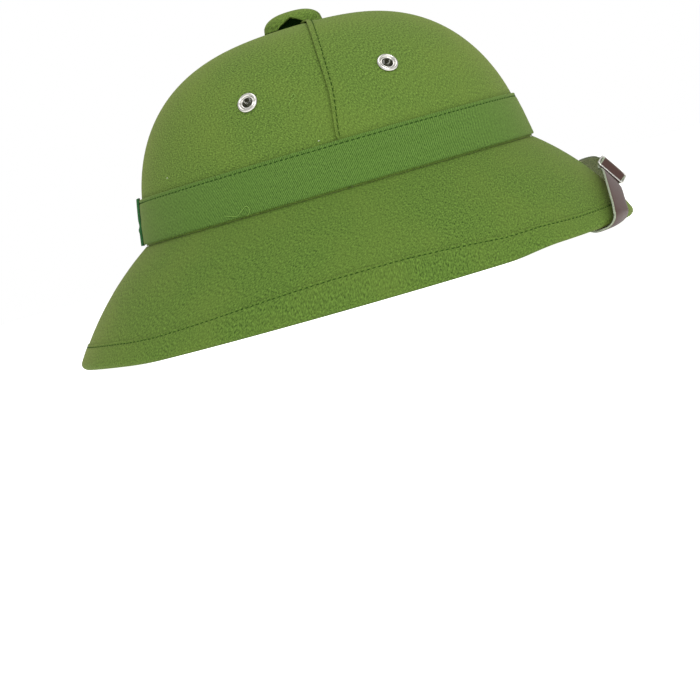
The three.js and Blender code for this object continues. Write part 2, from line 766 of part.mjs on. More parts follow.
function buildCrownCloth() {
  let rear = crownPanel(COLUMNS / 4, -SEAM_GAP / 2);
  let front = crownPanel(-COLUMNS / 4, SEAM_GAP / 2).add(lapSolid(SIDES.right)).add(lapSolid(SIDES.left));
  for (const eyelet of eyelets) {
    if (eyelet.end === "rear") {
      rear = rear.subtract(eyeletHole(eyelet));
    } else {
      front = front.subtract(eyeletHole(eyelet));
    }
  }
  addPiece("crown_cloth_rear", fromSolid(rear), "cloth");
  addPiece("crown_cloth_front", fromSolid(front), "cloth");
}

function buildBrimCloth() {
  const rows = [ROW_BRIM_CLOTH_START];
  for (let row = ROW_CORNER + 1; row < ROW_HEM; row += 1) {
    rows.push(row);
  }
  rows.push(ROW_BRIM_CLOTH_END);
  const stations = sections.map((here) => ({
    outer: rows.map((row) => layerPoint(here, row, 0)),
    inner: rows.map((row) => layerPoint(here, row, -CLOTH)),
  }));
  addPiece("brim_cloth", wallGeometry(stations, true), "cloth");
}

// The hem is one strip of cloth, from its upper edge round the rim and as far up the underside.
function buildBrimBinding() {
  const underside = -(CLOTH + 2 * GAP + SHELL_WALL);
  const thickness = CLOTH + HEM_PROUD;
  const down = -QUARTER_TURN;
  const stations = sections.map((here) => {
    const { tangent } = here.profile;
    const turns = [
      lerp(tangent, down + RIM_FLAT_ANGLE, 1 / 3),
      lerp(tangent, down + RIM_FLAT_ANGLE, 2 / 3),
      down + RIM_FLAT_ANGLE,
      down - RIM_FLAT_ANGLE,
      lerp(down - RIM_FLAT_ANGLE, tangent - HALF_TURN, 0.5),
    ];
    const topRows = [ROW_HEM, ROW_RIM];
    const underRows = [...topRows].reverse();
    const around = (topOffset, radius, underOffset) => [
      ...topRows.map((row) => layerPoint(here, row, topOffset)),
      ...turns.map((turn) => rollPoint(here, turn, radius)),
      ...underRows.map((row) => layerPoint(here, row, underOffset)),
    ];
    return {
      outer: around(HEM_PROUD, RIM_RADIUS, underside - thickness),
      inner: around(-CLOTH, RIM_RADIUS - thickness, underside),
    };
  });
  addPiece("brim_binding", wallGeometry(stations, true), "cloth");
}

function bandOffset(here, row) {
  const share = (row - ROW_BAND_TOP) / (ROW_CORNER - ROW_BAND_TOP);
  const phase = BAND_FOLD_COUNT * here.angle + BAND_FOLD_SLANT * share;
  return GAP + BAND_THICKNESS + BAND_FOLD * Math.sin(phase);
}

function buildBand() {
  const rows = [];
  for (let row = ROW_BAND_TOP; row < ROW_CORNER; row += 1) {
    rows.push(row);
  }
  const stations = sections.map((here) => {
    const footInner = layerPoint(here, ROW_CORNER, GAP);
    const alongBrim = layerPoint(here, ROW_CORNER + 1, GAP).sub(footInner).normalize();
    const footOuter = footInner.clone().addScaledVector(alongBrim, BAND_THICKNESS + BAND_FOLD);
    const lift = new THREE.Vector3(0, 0, GAP);
    return {
      outer: [...rows.map((row) => layerPoint(here, row, bandOffset(here, row))), footOuter.add(lift)],
      inner: [...rows.map((row) => layerPoint(here, row, GAP)), footInner.add(lift)],
    };
  });
  addPiece("band", wallGeometry(stations, true), "band");
}

// Upright tab over the joint of the band, at the middle of the back.
function buildRearTab() {
  const rows = [ROW_TAB_START, ROW_BAND_TOP, ROW_BAND_TOP + 1, ROW_TAB_END];
  const middleColumn = COLUMNS / 2;
  const seat = GAP + BAND_THICKNESS + BAND_FOLD + GAP;
  const columnWidth = layerPoint(section(middleColumn), ROW_BAND_TOP, 0)
    .distanceTo(layerPoint(section(middleColumn + 1), ROW_BAND_TOP, 0));
  const reach = TAB_WIDTH / 2 / columnWidth;
  const stations = [-reach, 0, reach].map((shift) => {
    const face = (offset) => rows.map((row) => {
      const rise = row < ROW_BAND_TOP ? TAB_RISE : 0;
      const centre = layerPoint(section(middleColumn), Math.max(row, ROW_BAND_TOP), offset);
      const beside = layerPoint(section(middleColumn + Math.sign(shift)), Math.max(row, ROW_BAND_TOP), offset);
      return centre.lerp(beside, Math.abs(shift)).add(new THREE.Vector3(0, 0, rise));
    });
    return { outer: face(seat + TAB_THICKNESS), inner: face(seat) };
  });
  addPiece("band_rear_tab", wallGeometry(stations, false), "band");
}

// Share of the cap's reach at each row of its dome.
const VENT_CAP_ROW_SHARES = [0, 0.45, 0.75, 0.93, 1];
// Where each shoulder of a mouth's arch lies between the mouth's middle and its end.
const VENT_MOUTH_SHOULDERS = { rear: 0.5, front: 0.8 };

// A dome on an oval foot with a mouth on each side and an upright web between the mouths.
function buildVentCap() {
  const radius = VENT_CAP_LENGTH / 2;
  const profile = (reach, height) => VENT_CAP_ROW_SHARES.map((share) => new THREE.Vector2(
    reach * share,
    height * (1 - share ** VENT_CAP_POWERS.reach) ** (1 / VENT_CAP_POWERS.height),
  ));
  const outer = profile(radius, VENT_CAP_HEIGHT);
  const inner = profile(radius - VENT_CAP_WALL, VENT_CAP_HEIGHT - VENT_CAP_WALL).reverse();
  const turned = (points) => new THREE.LatheGeometry(points, VENT_CAP_SIDES)
    .rotateX(QUARTER_TURN).scale(1, VENT_CAP_WIDTH / VENT_CAP_LENGTH, 1);
  const mouth = new THREE.Shape();
  const half = VENT_MOUTH_LENGTH / 2;
  mouth.moveTo(-half, -CUTTER_REACH);
  mouth.lineTo(-half, 0);
  mouth.quadraticCurveTo(-half * VENT_MOUTH_SHOULDERS.rear, VENT_MOUTH_HEIGHT, 0, VENT_MOUTH_HEIGHT);
  mouth.quadraticCurveTo(half * VENT_MOUTH_SHOULDERS.front, VENT_MOUTH_HEIGHT, half, 0);
  mouth.lineTo(half, -CUTTER_REACH);
  mouth.closePath();
  let solid = toSolid(turned([...outer, ...inner]));
  const web = toSolid(new THREE.BoxGeometry(VENT_WEB_LENGTH, VENT_WEB, VENT_WEB_HEIGHT)
    .translate(0, 0, VENT_WEB_HEIGHT / 2));
  const filled = toSolid(turned([...outer, new THREE.Vector2(0, 0)]));
  solid = solid.add(web.intersect(filled));
  for (const side of Object.values(SIDES)) {
    const cutter = new THREE.ExtrudeGeometry(mouth, {
      depth: VENT_CAP_WIDTH, steps: 1, curveSegments: VENT_MOUTH_STEPS, bevelEnabled: false,
    });
    cutter.rotateX(QUARTER_TURN);
    cutter.translate(VENT_MOUTH_SHIFT, side > 0 ? VENT_CAP_WIDTH + VENT_WEB / 2 : -VENT_WEB / 2, 0);
    solid = solid.subtract(toSolid(cutter));
  }
  const foot = CROWN_FOOT_HEIGHT + CROWN_HEIGHT + GAP;
  const geometry = fromSolid(solid).translate(SEAM_X + VENT_CAP_SHIFT, 0, foot);
  addPiece("vent_cap", geometry, "cloth");
}

function buildEyelets() {
  for (const eyelet of eyelets) {
    addPiece(eyelet.name, eyeletGeometry(eyelet), "nickel");
  }
}

function buildStrap() {
  let solid = toSolid(strapGeometry());
  for (const [sideName, anchor] of Object.entries(anchors)) {
    solid = solid.subtract(rivetHole(anchor));
    addPiece(`strap_anchor_${sideName}`, rivetGeometry(anchor), "nickel");
  }
  addPiece("chin_strap", fromSolid(solid), "leatherette");
}

// Wire slide buckle: a rounded frame and a middle bar, flat on the strap.
function buildBuckle() {
  const { down, fall, height } = strapLine(BUCKLE_PLACE);
  const level = height + WEAVE / 2;
  const length = Math.hypot(1, fall);
  const at = (along, across) => strapPoint(
    BUCKLE_PLACE + (along - across * fall) / length,
    down + (along * fall + across) / length,
    level,
  );
  const centre = at(0, 0);
  const alongAxis = at(1, 0).sub(at(-1, 0)).normalize();
  const acrossAxis = at(0, 1).sub(at(0, -1));
  acrossAxis.addScaledVector(alongAxis, -acrossAxis.dot(alongAxis)).normalize();
  const faceAxis = alongAxis.clone().cross(acrossAxis);
  const matrix = new THREE.Matrix4().makeBasis(alongAxis, acrossAxis, faceAxis).setPosition(centre);

  const [halfLength, halfWidth] = [BUCKLE_LENGTH / 2, BUCKLE_WIDTH / 2];
  const corners = [[1, 1], [-1, 1], [-1, -1], [1, -1]];
  const stations = [];
  corners.forEach(([x, y], i) => {
    for (const part of [0, 0.5, 1]) {
      const turn = i * QUARTER_TURN + part * QUARTER_TURN;
      const middle = new THREE.Vector2(x * (halfLength - BUCKLE_CORNER), y * (halfWidth - BUCKLE_CORNER));
      const out = new THREE.Vector2(Math.cos(turn), Math.sin(turn));
      const ring = [];
      for (let k = 0; k < WIRE_SIDES; k += 1) {
        const roll = ((k + 0.5) / WIRE_SIDES) * 2 * HALF_TURN;
        const reach = BUCKLE_CORNER + BUCKLE_WIRE * Math.cos(roll);
        const point = middle.clone().addScaledVector(out, reach);
        ring.push(new THREE.Vector3(point.x, point.y, BUCKLE_WIRE * Math.sin(roll)));
      }
      stations.push({ outer: ring.slice(0, WIRE_SIDES / 2), inner: ring.slice(WIRE_SIDES / 2).reverse() });
    }
  });
  const bar = new THREE.CylinderGeometry(BUCKLE_WIRE, BUCKLE_WIRE, BUCKLE_WIDTH, WIRE_SIDES);
  const solid = toSolid(wallGeometry(stations, true)).add(toSolid(bar));
  addPiece("buckle_frame", fromSolid(solid).applyMatrix4(matrix), "nickel");
}

buildShell();
buildCrownCloth();
buildBrimCloth();
buildBrimBinding();
buildBand();
buildRearTab();
buildVentCap();
buildEyelets();
buildStrap();
buildBuckle();

export default helmet;
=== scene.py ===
import bmesh
import bpy
import numpy as np
from mathutils import Matrix, Vector


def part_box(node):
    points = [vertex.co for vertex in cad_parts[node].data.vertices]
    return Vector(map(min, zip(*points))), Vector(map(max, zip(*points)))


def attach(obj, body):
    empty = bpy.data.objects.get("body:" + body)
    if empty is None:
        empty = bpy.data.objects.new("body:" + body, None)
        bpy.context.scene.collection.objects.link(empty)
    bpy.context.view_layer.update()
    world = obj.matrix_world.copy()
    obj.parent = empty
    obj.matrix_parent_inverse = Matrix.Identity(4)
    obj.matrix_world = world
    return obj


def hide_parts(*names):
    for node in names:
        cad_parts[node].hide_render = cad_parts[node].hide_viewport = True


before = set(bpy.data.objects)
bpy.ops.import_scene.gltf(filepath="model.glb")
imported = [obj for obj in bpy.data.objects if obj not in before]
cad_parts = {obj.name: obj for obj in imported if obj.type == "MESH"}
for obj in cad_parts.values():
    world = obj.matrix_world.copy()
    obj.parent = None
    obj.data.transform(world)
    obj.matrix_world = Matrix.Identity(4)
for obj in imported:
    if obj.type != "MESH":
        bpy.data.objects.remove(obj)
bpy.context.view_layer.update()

MM = 0.001
SIDES = {"right": -1, "left": 1}

# Sizes in millimetres, +X forward, +Y to the wearer's left, +Z up. Overall ones come from the frame.


def corners(node):
    """Lowest and highest corner of a part of the frame, in millimetres."""
    low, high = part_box(node)
    return np.array(low) / MM, np.array(high) / MM


RIM_LOW, RIM_HIGH = corners("brim_binding")
VENT_LOW, VENT_HIGH = corners("vent_cap")
BRIM_LENGTH = RIM_HIGH[0] - RIM_LOW[0]
BRIM_WIDTH = RIM_HIGH[1] - RIM_LOW[1]

BRIM_SQUARENESS = 2.1
CROWN_FOOT_HEIGHT = 61.4
CROWN_HEIGHT = 97.5
SEAM_X = 11.7
CROWN_FRONT_REACH = 107.3
CROWN_REAR_REACH = 119.7
CROWN_WIDTH = 200
CROWN_FLARE = 2
DOME_REACH_POWER = 2.85
DOME_HEIGHT_POWER = 2.05
DOME_REACH_DROP = 0.15
DOME_HEIGHT_DROP = 0.05
BRIM_BOW = 8

GAP = 0.3
CLOTH = 1
SHELL_WALL = 2.7
HEM_PROUD = 0.5
HEM_FRONT_WIDTH = 8
HEM_SIDE_WIDTH = 16.2
HEM_REAR_WIDTH = 11
HEM_WIDENS = (35, 88)  # degrees round from the front
HEM_NARROWS = (98, 150)
RIM_RADIUS = SHELL_WALL / 2 + GAP + CLOTH + HEM_PROUD
SKIN_RADIUS = RIM_RADIUS - HEM_PROUD
RIM_FLAT_ANGLE = np.radians(20)

FRONT_FLAT_X = 80
FRONT_RISE_LENGTH = 32
FRONT_RISE = 2.2
FRONT_TIP_RISE = 0.4
REAR_FLAT_X = 115
REAR_RISE = 3

BAND_HEIGHT = 26.5
BAND_THICKNESS = 1.3
TAB_WIDTH = 12
TAB_THICKNESS = 1.4
TAB_RISE = 1
VENT_HOLE_RADIUS = 8

EYELET_HEIGHT = 60
EYELET_REACHES = {"front": 37.5, "rear": -42}
EYELET_BARREL = 3.3

STRAP_WIDTH = 14.5
STRAP_THICKNESS = 1.3
STRAP_GAP = 0.55
STRAP_PEAK = -22.8
STRAP_RUN = 93.5
STRAP_FAR_RUN = 82
STRAP_CLIMB = 22.8
STRAP_CLIMB_POWER = 4.1
STRAP_ARCH = 4.7
STRAP_SLACK = 3.9  # how far it stands off the rim's edge where it goes round
STRAP_SLACK_END = 8  # down round the rim, where it lies close again
STRAP_FAR_TILT = 0.35
STRAP_FAR_ARCH = 3  # how much higher its far half arches
STRAP_TILT = 0.11
STRAP_TILT_GROWS = (0.35, 0.8)  # shares of each half's run from the peak
STRAP_TILT_END = 0.5  # share of the stretch round the rim
STRAP_TUCK_ANGLE = np.radians(130)
STRAP_TUCK_HEADING = np.radians(50)
TWIST_SHARE = 0.8
ANCHOR_X = 14
ANCHOR_HEIGHT = 8
ANCHOR_END = 6
ANCHOR_GAP = 2
BUCKLE_WIRE = 0.6
BUCKLE_LENGTH = 13
BUCKLE_WIDTH = 17.6
BUCKLE_PLACE = 18
BUCKLE_CORNER = 1.6
BUCKLE_SINK = 0.25  # how far its wires press into the strap's clearance
BUCKLE_TILT = 0.45  # its near wire lies closer to the brim
BUCKLE_TILT_REACH = 13  # how far the strap leans with it


# Curves of the crown and the brim. Angles go round the crown from the front; minus is the wearer's right.


def smoothstep(x, low, high):
    """0 below low, 1 above high, and a smooth cubic between."""
    t = np.clip((x - low) / (high - low), 0, 1)
    return t * t * (3 - 2 * t)


def bell(x, middle, reach):
    """A smooth bump of height 1: exp(-((x - middle) / reach)^2)."""
    return np.exp(-(((x - middle) / reach) ** 2))


def folded_edge(depth, radius):
    """Share of its thickness that folded cloth has at a depth below its edge: a quarter circle, then 1."""
    return np.sqrt(np.clip(1 - (1 - np.clip(depth / radius, 0, 1)) ** 2, 0, 1))


def crown_reach(angle):
    """Oval plan of the crown: a half ellipse in front of the ear-to-ear seam and a longer one behind it."""
    along = np.where(np.cos(angle) > 0, CROWN_FRONT_REACH, CROWN_REAR_REACH)
    return 1 / np.hypot(np.cos(angle) / along, np.sin(angle) / (CROWN_WIDTH / 2))


def dome_powers(angle):
    """Powers of the superellipse that is the dome's profile, a little fuller at the back."""
    forward = np.cos(angle)
    return DOME_REACH_POWER - DOME_REACH_DROP * forward, DOME_HEIGHT_POWER - DOME_HEIGHT_DROP * forward


def dome_point(angle, turn):
    """Reach and height on the dome: reach share sin(turn)^(2/p), height share cos(turn)^(2/q), and a flare at
    its foot."""
    reach_power, height_power = dome_powers(angle)
    height = CROWN_HEIGHT * np.abs(np.cos(turn)) ** (2 / height_power)
    flare = CROWN_FLARE * np.clip(1 - height / BAND_HEIGHT, 0, 1) ** 2
    return crown_reach(angle) * np.sin(turn) ** (2 / reach_power) + flare, CROWN_FOOT_HEIGHT + height


def turn_at_height(angle, height):
    """The dome's turn at a height above the crown's foot."""
    return np.arccos((height / CROWN_HEIGHT) ** (dome_powers(angle)[1] / 2))


def turn_at_reach(angle, reach):
    """The dome's turn at a reach from its pole."""
    return np.arcsin((reach / crown_reach(angle)) ** (dome_powers(angle)[0] / 2))


def brim_reach(angle):
    """Superellipse plan of the rim, seen from the crown's pole."""
    tip = BRIM_LENGTH / 2
    along = np.where(np.cos(angle) > 0, tip - SEAM_X, tip + SEAM_X)
    forward = np.abs(np.cos(angle) / along) ** BRIM_SQUARENESS
    sideways = np.abs(np.sin(angle) / (BRIM_WIDTH / 2)) ** BRIM_SQUARENESS
    return (forward + sideways) ** (-1 / BRIM_SQUARENESS)


def rim_rise(x):
    """How far the rim rises towards its two tips."""
    tip = BRIM_LENGTH / 2
    front = FRONT_RISE * smoothstep(x, FRONT_FLAT_X, FRONT_FLAT_X + FRONT_RISE_LENGTH)
    front = front + FRONT_TIP_RISE * smoothstep(x, FRONT_FLAT_X + FRONT_RISE_LENGTH, tip)
    return front + REAR_RISE * smoothstep(-x, REAR_FLAT_X, tip)


def hem_width(angle):
    """Width of the hem up the slope: a smooth rise from front to side and a smooth fall from side to rear."""
    degrees = np.abs((np.degrees(angle) + 180) % 360 - 180)
    rise = (HEM_SIDE_WIDTH - HEM_FRONT_WIDTH) * smoothstep(degrees, *HEM_WIDENS)
    return HEM_FRONT_WIDTH + rise - (HEM_SIDE_WIDTH - HEM_REAR_WIDTH) * smoothstep(degrees, *HEM_NARROWS)


class Brim:
    """The brim's section at each angle: a roll about a centre, and one shallow parabola from the crown's foot
    to where it meets the roll's circle along its tangent."""

    def __init__(self, angle):
        reach = brim_reach(angle)
        self.centre_r = reach - RIM_RADIUS
        self.centre_z = rim_rise(SEAM_X + reach * np.cos(angle)) + RIM_RADIUS * np.cos(RIM_FLAT_ANGLE)
        self.start_r = crown_reach(angle) + CROWN_FLARE
        self.start_z = np.full_like(self.start_r, CROWN_FOOT_HEIGHT)
        self.tangent = np.full_like(self.start_r, np.pi / 4)
        for _ in range(8):
            self.end_r = self.centre_r + SKIN_RADIUS * np.cos(self.tangent)
            self.end_z = self.centre_z + SKIN_RADIUS * np.sin(self.tangent)
            self.slope = np.hypot(self.end_r - self.start_r, self.start_z - self.end_z)
            bulge = BRIM_BOW / self.slope
            self.middle_r = (self.start_r + self.end_r) / 2 + bulge * (self.start_z - self.end_z)
            self.middle_z = (self.start_z + self.end_z) / 2 + bulge * (self.end_r - self.start_r)
            self.tangent = np.arctan2(self.end_r - self.middle_r, self.middle_z - self.end_z)

    def bow(self, share, offset=0.0):
        """Point at a share of the parabola, moved out along its normal."""
        a, b, c = (1 - share) ** 2, 2 * share * (1 - share), share**2
        r = a * self.start_r + b * self.middle_r + c * self.end_r
        z = a * self.start_z + b * self.middle_z + c * self.end_z
        along_r = (1 - share) * (self.middle_r - self.start_r) + share * (self.end_r - self.middle_r)
        along_z = (1 - share) * (self.middle_z - self.start_z) + share * (self.end_z - self.middle_z)
        length = np.hypot(along_r, along_z)
        return r - offset * along_z / length, z + offset * along_r / length

    def roll(self, turn, radius):
        """Point of the roll at a turn above the horizontal."""
        return self.centre_r + radius * np.cos(turn), self.centre_z + radius * np.sin(turn)


def dome(angle, turn, offset=0.0):
    """Point of the dome moved out along the normal of its profile."""
    step = 1e-4
    r, z = dome_point(angle, turn)
    r_low, z_low = dome_point(angle, turn - step)
    r_high, z_high = dome_point(angle, turn + step)
    length = np.hypot(r_high - r_low, z_high - z_low)
    return r - offset * (z_high - z_low) / length, z + offset * (r_high - r_low) / length


def place(angle, r, z):
    """Points from angle, reach and height about the crown's pole."""
    return np.stack(np.broadcast_arrays(SEAM_X + r * np.cos(angle), r * np.sin(angle), z), -1)


def unit(vectors):
    """Vectors of length one."""
    return vectors / np.linalg.norm(vectors, axis=-1, keepdims=True)


# Meshes


def signed_volume(points, faces):
    """Six times the volume inside a closed skin of quads, minus if its faces point inwards."""
    a, b, c, d = (points[faces[:, k]] for k in range(4))
    return (np.cross(b, c) * a).sum() + (np.cross(c, d) * a).sum()


def cap_faces(loop):
    """Quads that close a loop of points by joining its first half to its second half, backwards."""
    half = len(loop) // 2
    near, far = loop[:half], loop[::-1][:half]
    return np.stack([near[:-1], near[1:], far[1:], far[:-1]], -1)


def grid_faces(stations, across, closed):
    """Quads of a skin through stations of equal loops, closed round or capped at both ends."""
    index = np.arange(stations * across).reshape(stations, across)
    rows = np.vstack([index, index[:1]]) if closed else index
    rows = np.hstack([rows, rows[:, :1]])
    faces = np.stack([rows[:-1, :-1], rows[1:, :-1], rows[1:, 1:], rows[:-1, 1:]], -1).reshape(-1, 4)
    if closed:
        return faces
    return np.vstack([faces, cap_faces(index[0]), cap_faces(index[-1])[:, ::-1]])


def cloth_map(loops, closed):
    """Flat place of each corner in mm: the mean length along the stations, and the mean length across."""
    along = np.linalg.norm(np.diff(loops, axis=0, append=loops[:1]), axis=-1).mean(1)
    across = np.linalg.norm(np.diff(loops, axis=1, append=loops[:, :1]), axis=-1).mean(0)
    u = np.concatenate([[0], np.cumsum(along)])
    v = np.concatenate([[0], np.cumsum(across)])
    if not closed:
        u = u[:-1]
    return np.stack(np.meshgrid(u, v, indexing="ij"), -1)


def grid_map(flat, across, closed):
    """The flat place of every face corner, in the order of grid_faces."""
    corners_of = np.stack([flat[:-1, :-1], flat[1:, :-1], flat[1:, 1:], flat[:-1, 1:]], 2).reshape(-1, 4, 2)
    if closed:
        return corners_of
    loop = flat[:, :-1]
    caps = [cap_faces(np.arange(across)), cap_faces(np.arange(across))[:, ::-1]]
    return np.concatenate([corners_of, loop[0][caps[0]], loop[-1][caps[1]]])


def mesh_from(name, points, faces, flat=None, finishes=None, sharp=50):
    """A mesh in metres from points in mm, with its faces outwards, its flat places and its finish numbers."""
    if signed_volume(points, faces) < 0:
        faces = faces[:, ::-1]
        flat = None if flat is None else flat[:, ::-1]
    mesh = bpy.data.meshes.new(name)
    mesh.from_pydata((points * MM).tolist(), [], faces.tolist())
    if flat is not None:
        layer = mesh.uv_layers.new(name="cloth_mm")
        layer.data.foreach_set("uv", flat.astype(np.float32).ravel())
    if finishes is not None:
        mesh.polygons.foreach_set("material_index", finishes.astype(np.int32))
    mesh.polygons.foreach_set("use_smooth", np.ones(len(faces), bool))
    mesh.set_sharp_from_angle(angle=np.radians(sharp))
    return mesh


def loft(name, loops, closed=False, flat=None, finishes=None, sharp=50):
    """A closed skin through stations of equal loops of points."""
    stations, across = loops.shape[:2]
    if flat is None:
        flat = cloth_map(loops, closed)
    return mesh_from(
        name,
        loops.reshape(-1, 3),
        grid_faces(stations, across, closed),
        grid_map(flat, across, closed),
        finishes,
        sharp,
    )


def weld(mesh, distance=1e-6):
    """Merges points that lie together, as at a pole, and removes the faces this leaves empty."""
    work = bmesh.new()
    work.from_mesh(mesh)
    bmesh.ops.remove_doubles(work, verts=work.verts, dist=distance)
    bmesh.ops.dissolve_degenerate(work, edges=work.edges, dist=distance)
    work.to_mesh(mesh)
    work.free()
    return mesh


def add_piece(name, mesh, finishes, slot, *nodes):
    """A finished piece that rides on the helmet and stands for the named parts of the frame."""
    piece = bpy.data.objects.new(name, mesh)
    bpy.context.scene.collection.objects.link(piece)
    for finish in finishes:
        mesh.materials.append(finish)
    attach(piece, "root")
    if nodes:
        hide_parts(*nodes)
    return piece


def bore(piece, cutters):
    """Cuts holes through a piece with closed meshes, and keeps the result as its own mesh."""
    scene = bpy.context.scene
    made = []
    for number, mesh in enumerate(cutters):
        cutter = bpy.data.objects.new(f"{piece.name}_cutter_{number}", mesh)
        scene.collection.objects.link(cutter)
        change = piece.modifiers.new(f"bore_{number}", "BOOLEAN")
        change.operation = "DIFFERENCE"
        change.solver = "EXACT"
        change.object = cutter
        made.append(cutter)
    bpy.context.view_layer.update()
    graph = bpy.context.evaluated_depsgraph_get()
    result = bpy.data.meshes.new_from_object(piece.evaluated_get(graph))
    piece.modifiers.clear()
    old = piece.data
    piece.data = result
    bpy.data.meshes.remove(old)
    for cutter in made:
        bpy.data.objects.remove(cutter)
    return piece


def lathe(profile, sides, matrix):
    """A profile of (radius, rise) turned about an axis; matrix holds the axes' columns and the place."""
    turn = np.linspace(0, 2 * np.pi, sides, endpoint=False)[:, None]
    radius, rise = profile[:, 0], profile[:, 1]
    local = np.stack(np.broadcast_arrays(radius * np.cos(turn), radius * np.sin(turn), rise), -1)
    return local @ matrix[:, :3].T + matrix[:, 3]


def rounded(points, steps):
    """A smooth closed or open run through chosen points, by Catmull-Rom cubics, `steps` to each stretch."""
    points = np.asarray(points, float)
    padded = np.vstack([2 * points[0] - points[1], points, 2 * points[-1] - points[-2]])
    t = np.linspace(0, 1, steps, endpoint=False)[:, None]
    runs = []
    for a, b, c, d in zip(padded[:-3], padded[1:-2], padded[2:-1], padded[3:]):
        squared = (2 * a - 5 * b + 4 * c - d) * t**2
        cubed = (3 * b - a - 3 * c + d) * t**3
        runs.append(0.5 * (2 * b + (c - a) * t + squared + cubed))
    return np.vstack([*runs, points[-1:]])


def tube(line, radius, sides=8):
    """Loops of a round thread along a line, its ends drawn in; the frame is turned as little as possible."""
    along = unit(np.gradient(line, axis=0))
    reference = np.array([0.0, 0.0, 1.0])
    side = unit(np.cross(along, reference) + 1e-6)
    other = np.cross(side, along)
    turn = np.linspace(0, 2 * np.pi, sides, endpoint=False)
    ring = np.cos(turn)[None, :, None] * side[:, None] + np.sin(turn)[None, :, None] * other[:, None]
    ends = np.minimum(np.arange(len(line)), np.arange(len(line))[::-1])
    width = radius * np.where(ends == 0, 0.35, 1.0)
    return line[:, None] + ring * width[:, None, None]


# Materials


def linear(hex_colour):
    """Linear colour of an sRGB hex value."""
    value = np.array([int(hex_colour[i : i + 2], 16) for i in (0, 2, 4)]) / 255
    value = np.where(value <= 0.04045, value / 12.92, ((value + 0.055) / 1.055) ** 2.4)
    return (*value, 1.0)


def new_material(name):
    """An empty material, its node tree and its surface shader."""
    material = bpy.data.materials.new(name)
    material.use_nodes = True
    tree = material.node_tree
    shader = tree.nodes["Principled BSDF"]
    return material, tree, shader


def add_node(tree, kind, inputs, **settings):
    """Adds a node. An input that is a socket is linked, and any other is set."""
    node = tree.nodes.new(kind)
    for name, value in settings.items():
        setattr(node, name, value)
    for name, value in inputs.items():
        if isinstance(value, bpy.types.NodeSocket):
            tree.links.new(value, node.inputs[name])
        else:
            node.inputs[name].default_value = value
    return node


def mixed_colour(tree, share, first, second):
    """A mix of two colours, each a socket or a value."""
    mix = tree.nodes.new("ShaderNodeMix")
    mix.data_type = "RGBA"
    factor, _, _, _, _, _, first_input, second_input = mix.inputs[:8]
    tree.links.new(share, factor)
    for value, target in ((first, first_input), (second, second_input)):
        if isinstance(value, bpy.types.NodeSocket):
            tree.links.new(value, target)
        else:
            target.default_value = value
    return mix.outputs[2]


RIB_ANGLE = np.radians(-40)  # of the drill's ribs to the cloth's length
FLECKS_PER_MM = 0.85
FLECK_STRETCH = (1.5, 0.9, 1)  # they are longer along the ribs
CLOUDS_PER_M = 28
WEAVE_RELIEF_MM = 0.15


def cotton_cloth(name, dark, light, faded, rib_mm, rib_share):
    """Piece-dyed cotton drill: matt, with fine slanting ribs, flecks of thread and a dusty sheen."""
    material, tree, shader = new_material(name)
    flat = add_node(tree, "ShaderNodeUVMap", {}, uv_map="cloth_mm").outputs["UV"]
    body = add_node(tree, "ShaderNodeTexCoord", {}).outputs["Object"]
    # Real ribs lie a fraction of a millimetre apart; these are drawn a little coarser, so that they show.
    slant = add_node(tree, "ShaderNodeMapping", {"Vector": flat, "Rotation": (0, 0, RIB_ANGLE)}).outputs[0]
    ribs = add_node(
        tree,
        "ShaderNodeTexWave",
        {
            "Vector": slant,
            "Scale": np.pi / (10 * rib_mm),
            "Distortion": 0.8,
            "Detail": 1,
            "Detail Scale": 0.8,
        },
    ).outputs["Fac"]
    # Single threads: flecks about a millimetre long, drawn coarser than the real ones so that they show.
    drawn = add_node(tree, "ShaderNodeMapping", {"Vector": slant, "Scale": FLECK_STRETCH}).outputs[0]
    threads = add_node(
        tree, "ShaderNodeTexNoise", {"Vector": drawn, "Scale": FLECKS_PER_MM, "Detail": 2, "Roughness": 0.6}
    ).outputs["Fac"]
    # Uneven dyeing over 20 to 60 mm.
    clouds = add_node(
        tree, "ShaderNodeTexNoise", {"Vector": body, "Scale": CLOUDS_PER_M, "Detail": 3}
    ).outputs["Fac"]
    flecks = add_node(
        tree, "ShaderNodeMapRange", {"Value": threads, "From Min": 0.25, "From Max": 0.75}
    ).outputs[0]
    weave = add_node(tree, "ShaderNodeMix", {"Factor": rib_share, "A": flecks, "B": ribs}).outputs[0]
    woven = mixed_colour(tree, weave, linear(dark), linear(light))
    cloud_share = add_node(
        tree, "ShaderNodeMapRange", {"Value": clouds, "From Min": 0.4, "From Max": 0.8, "To Max": 0.35}
    ).outputs[0]
    colour = mixed_colour(tree, cloud_share, woven, linear(faded))
    tree.links.new(colour, shader.inputs["Base Color"])
    relief = {"Height": weave, "Strength": 0.5, "Distance": WEAVE_RELIEF_MM * MM}
    bump = add_node(tree, "ShaderNodeBump", relief)
    tree.links.new(bump.outputs[0], shader.inputs["Normal"])
    shader.inputs["Roughness"].default_value = 0.95
    shader.inputs["Specular IOR Level"].default_value = 0.15
    shader.inputs["Sheen Weight"].default_value = 0.12
    shader.inputs["Sheen Roughness"].default_value = 0.5
    shader.inputs["Sheen Tint"].default_value = linear("c2a76a")
    return material


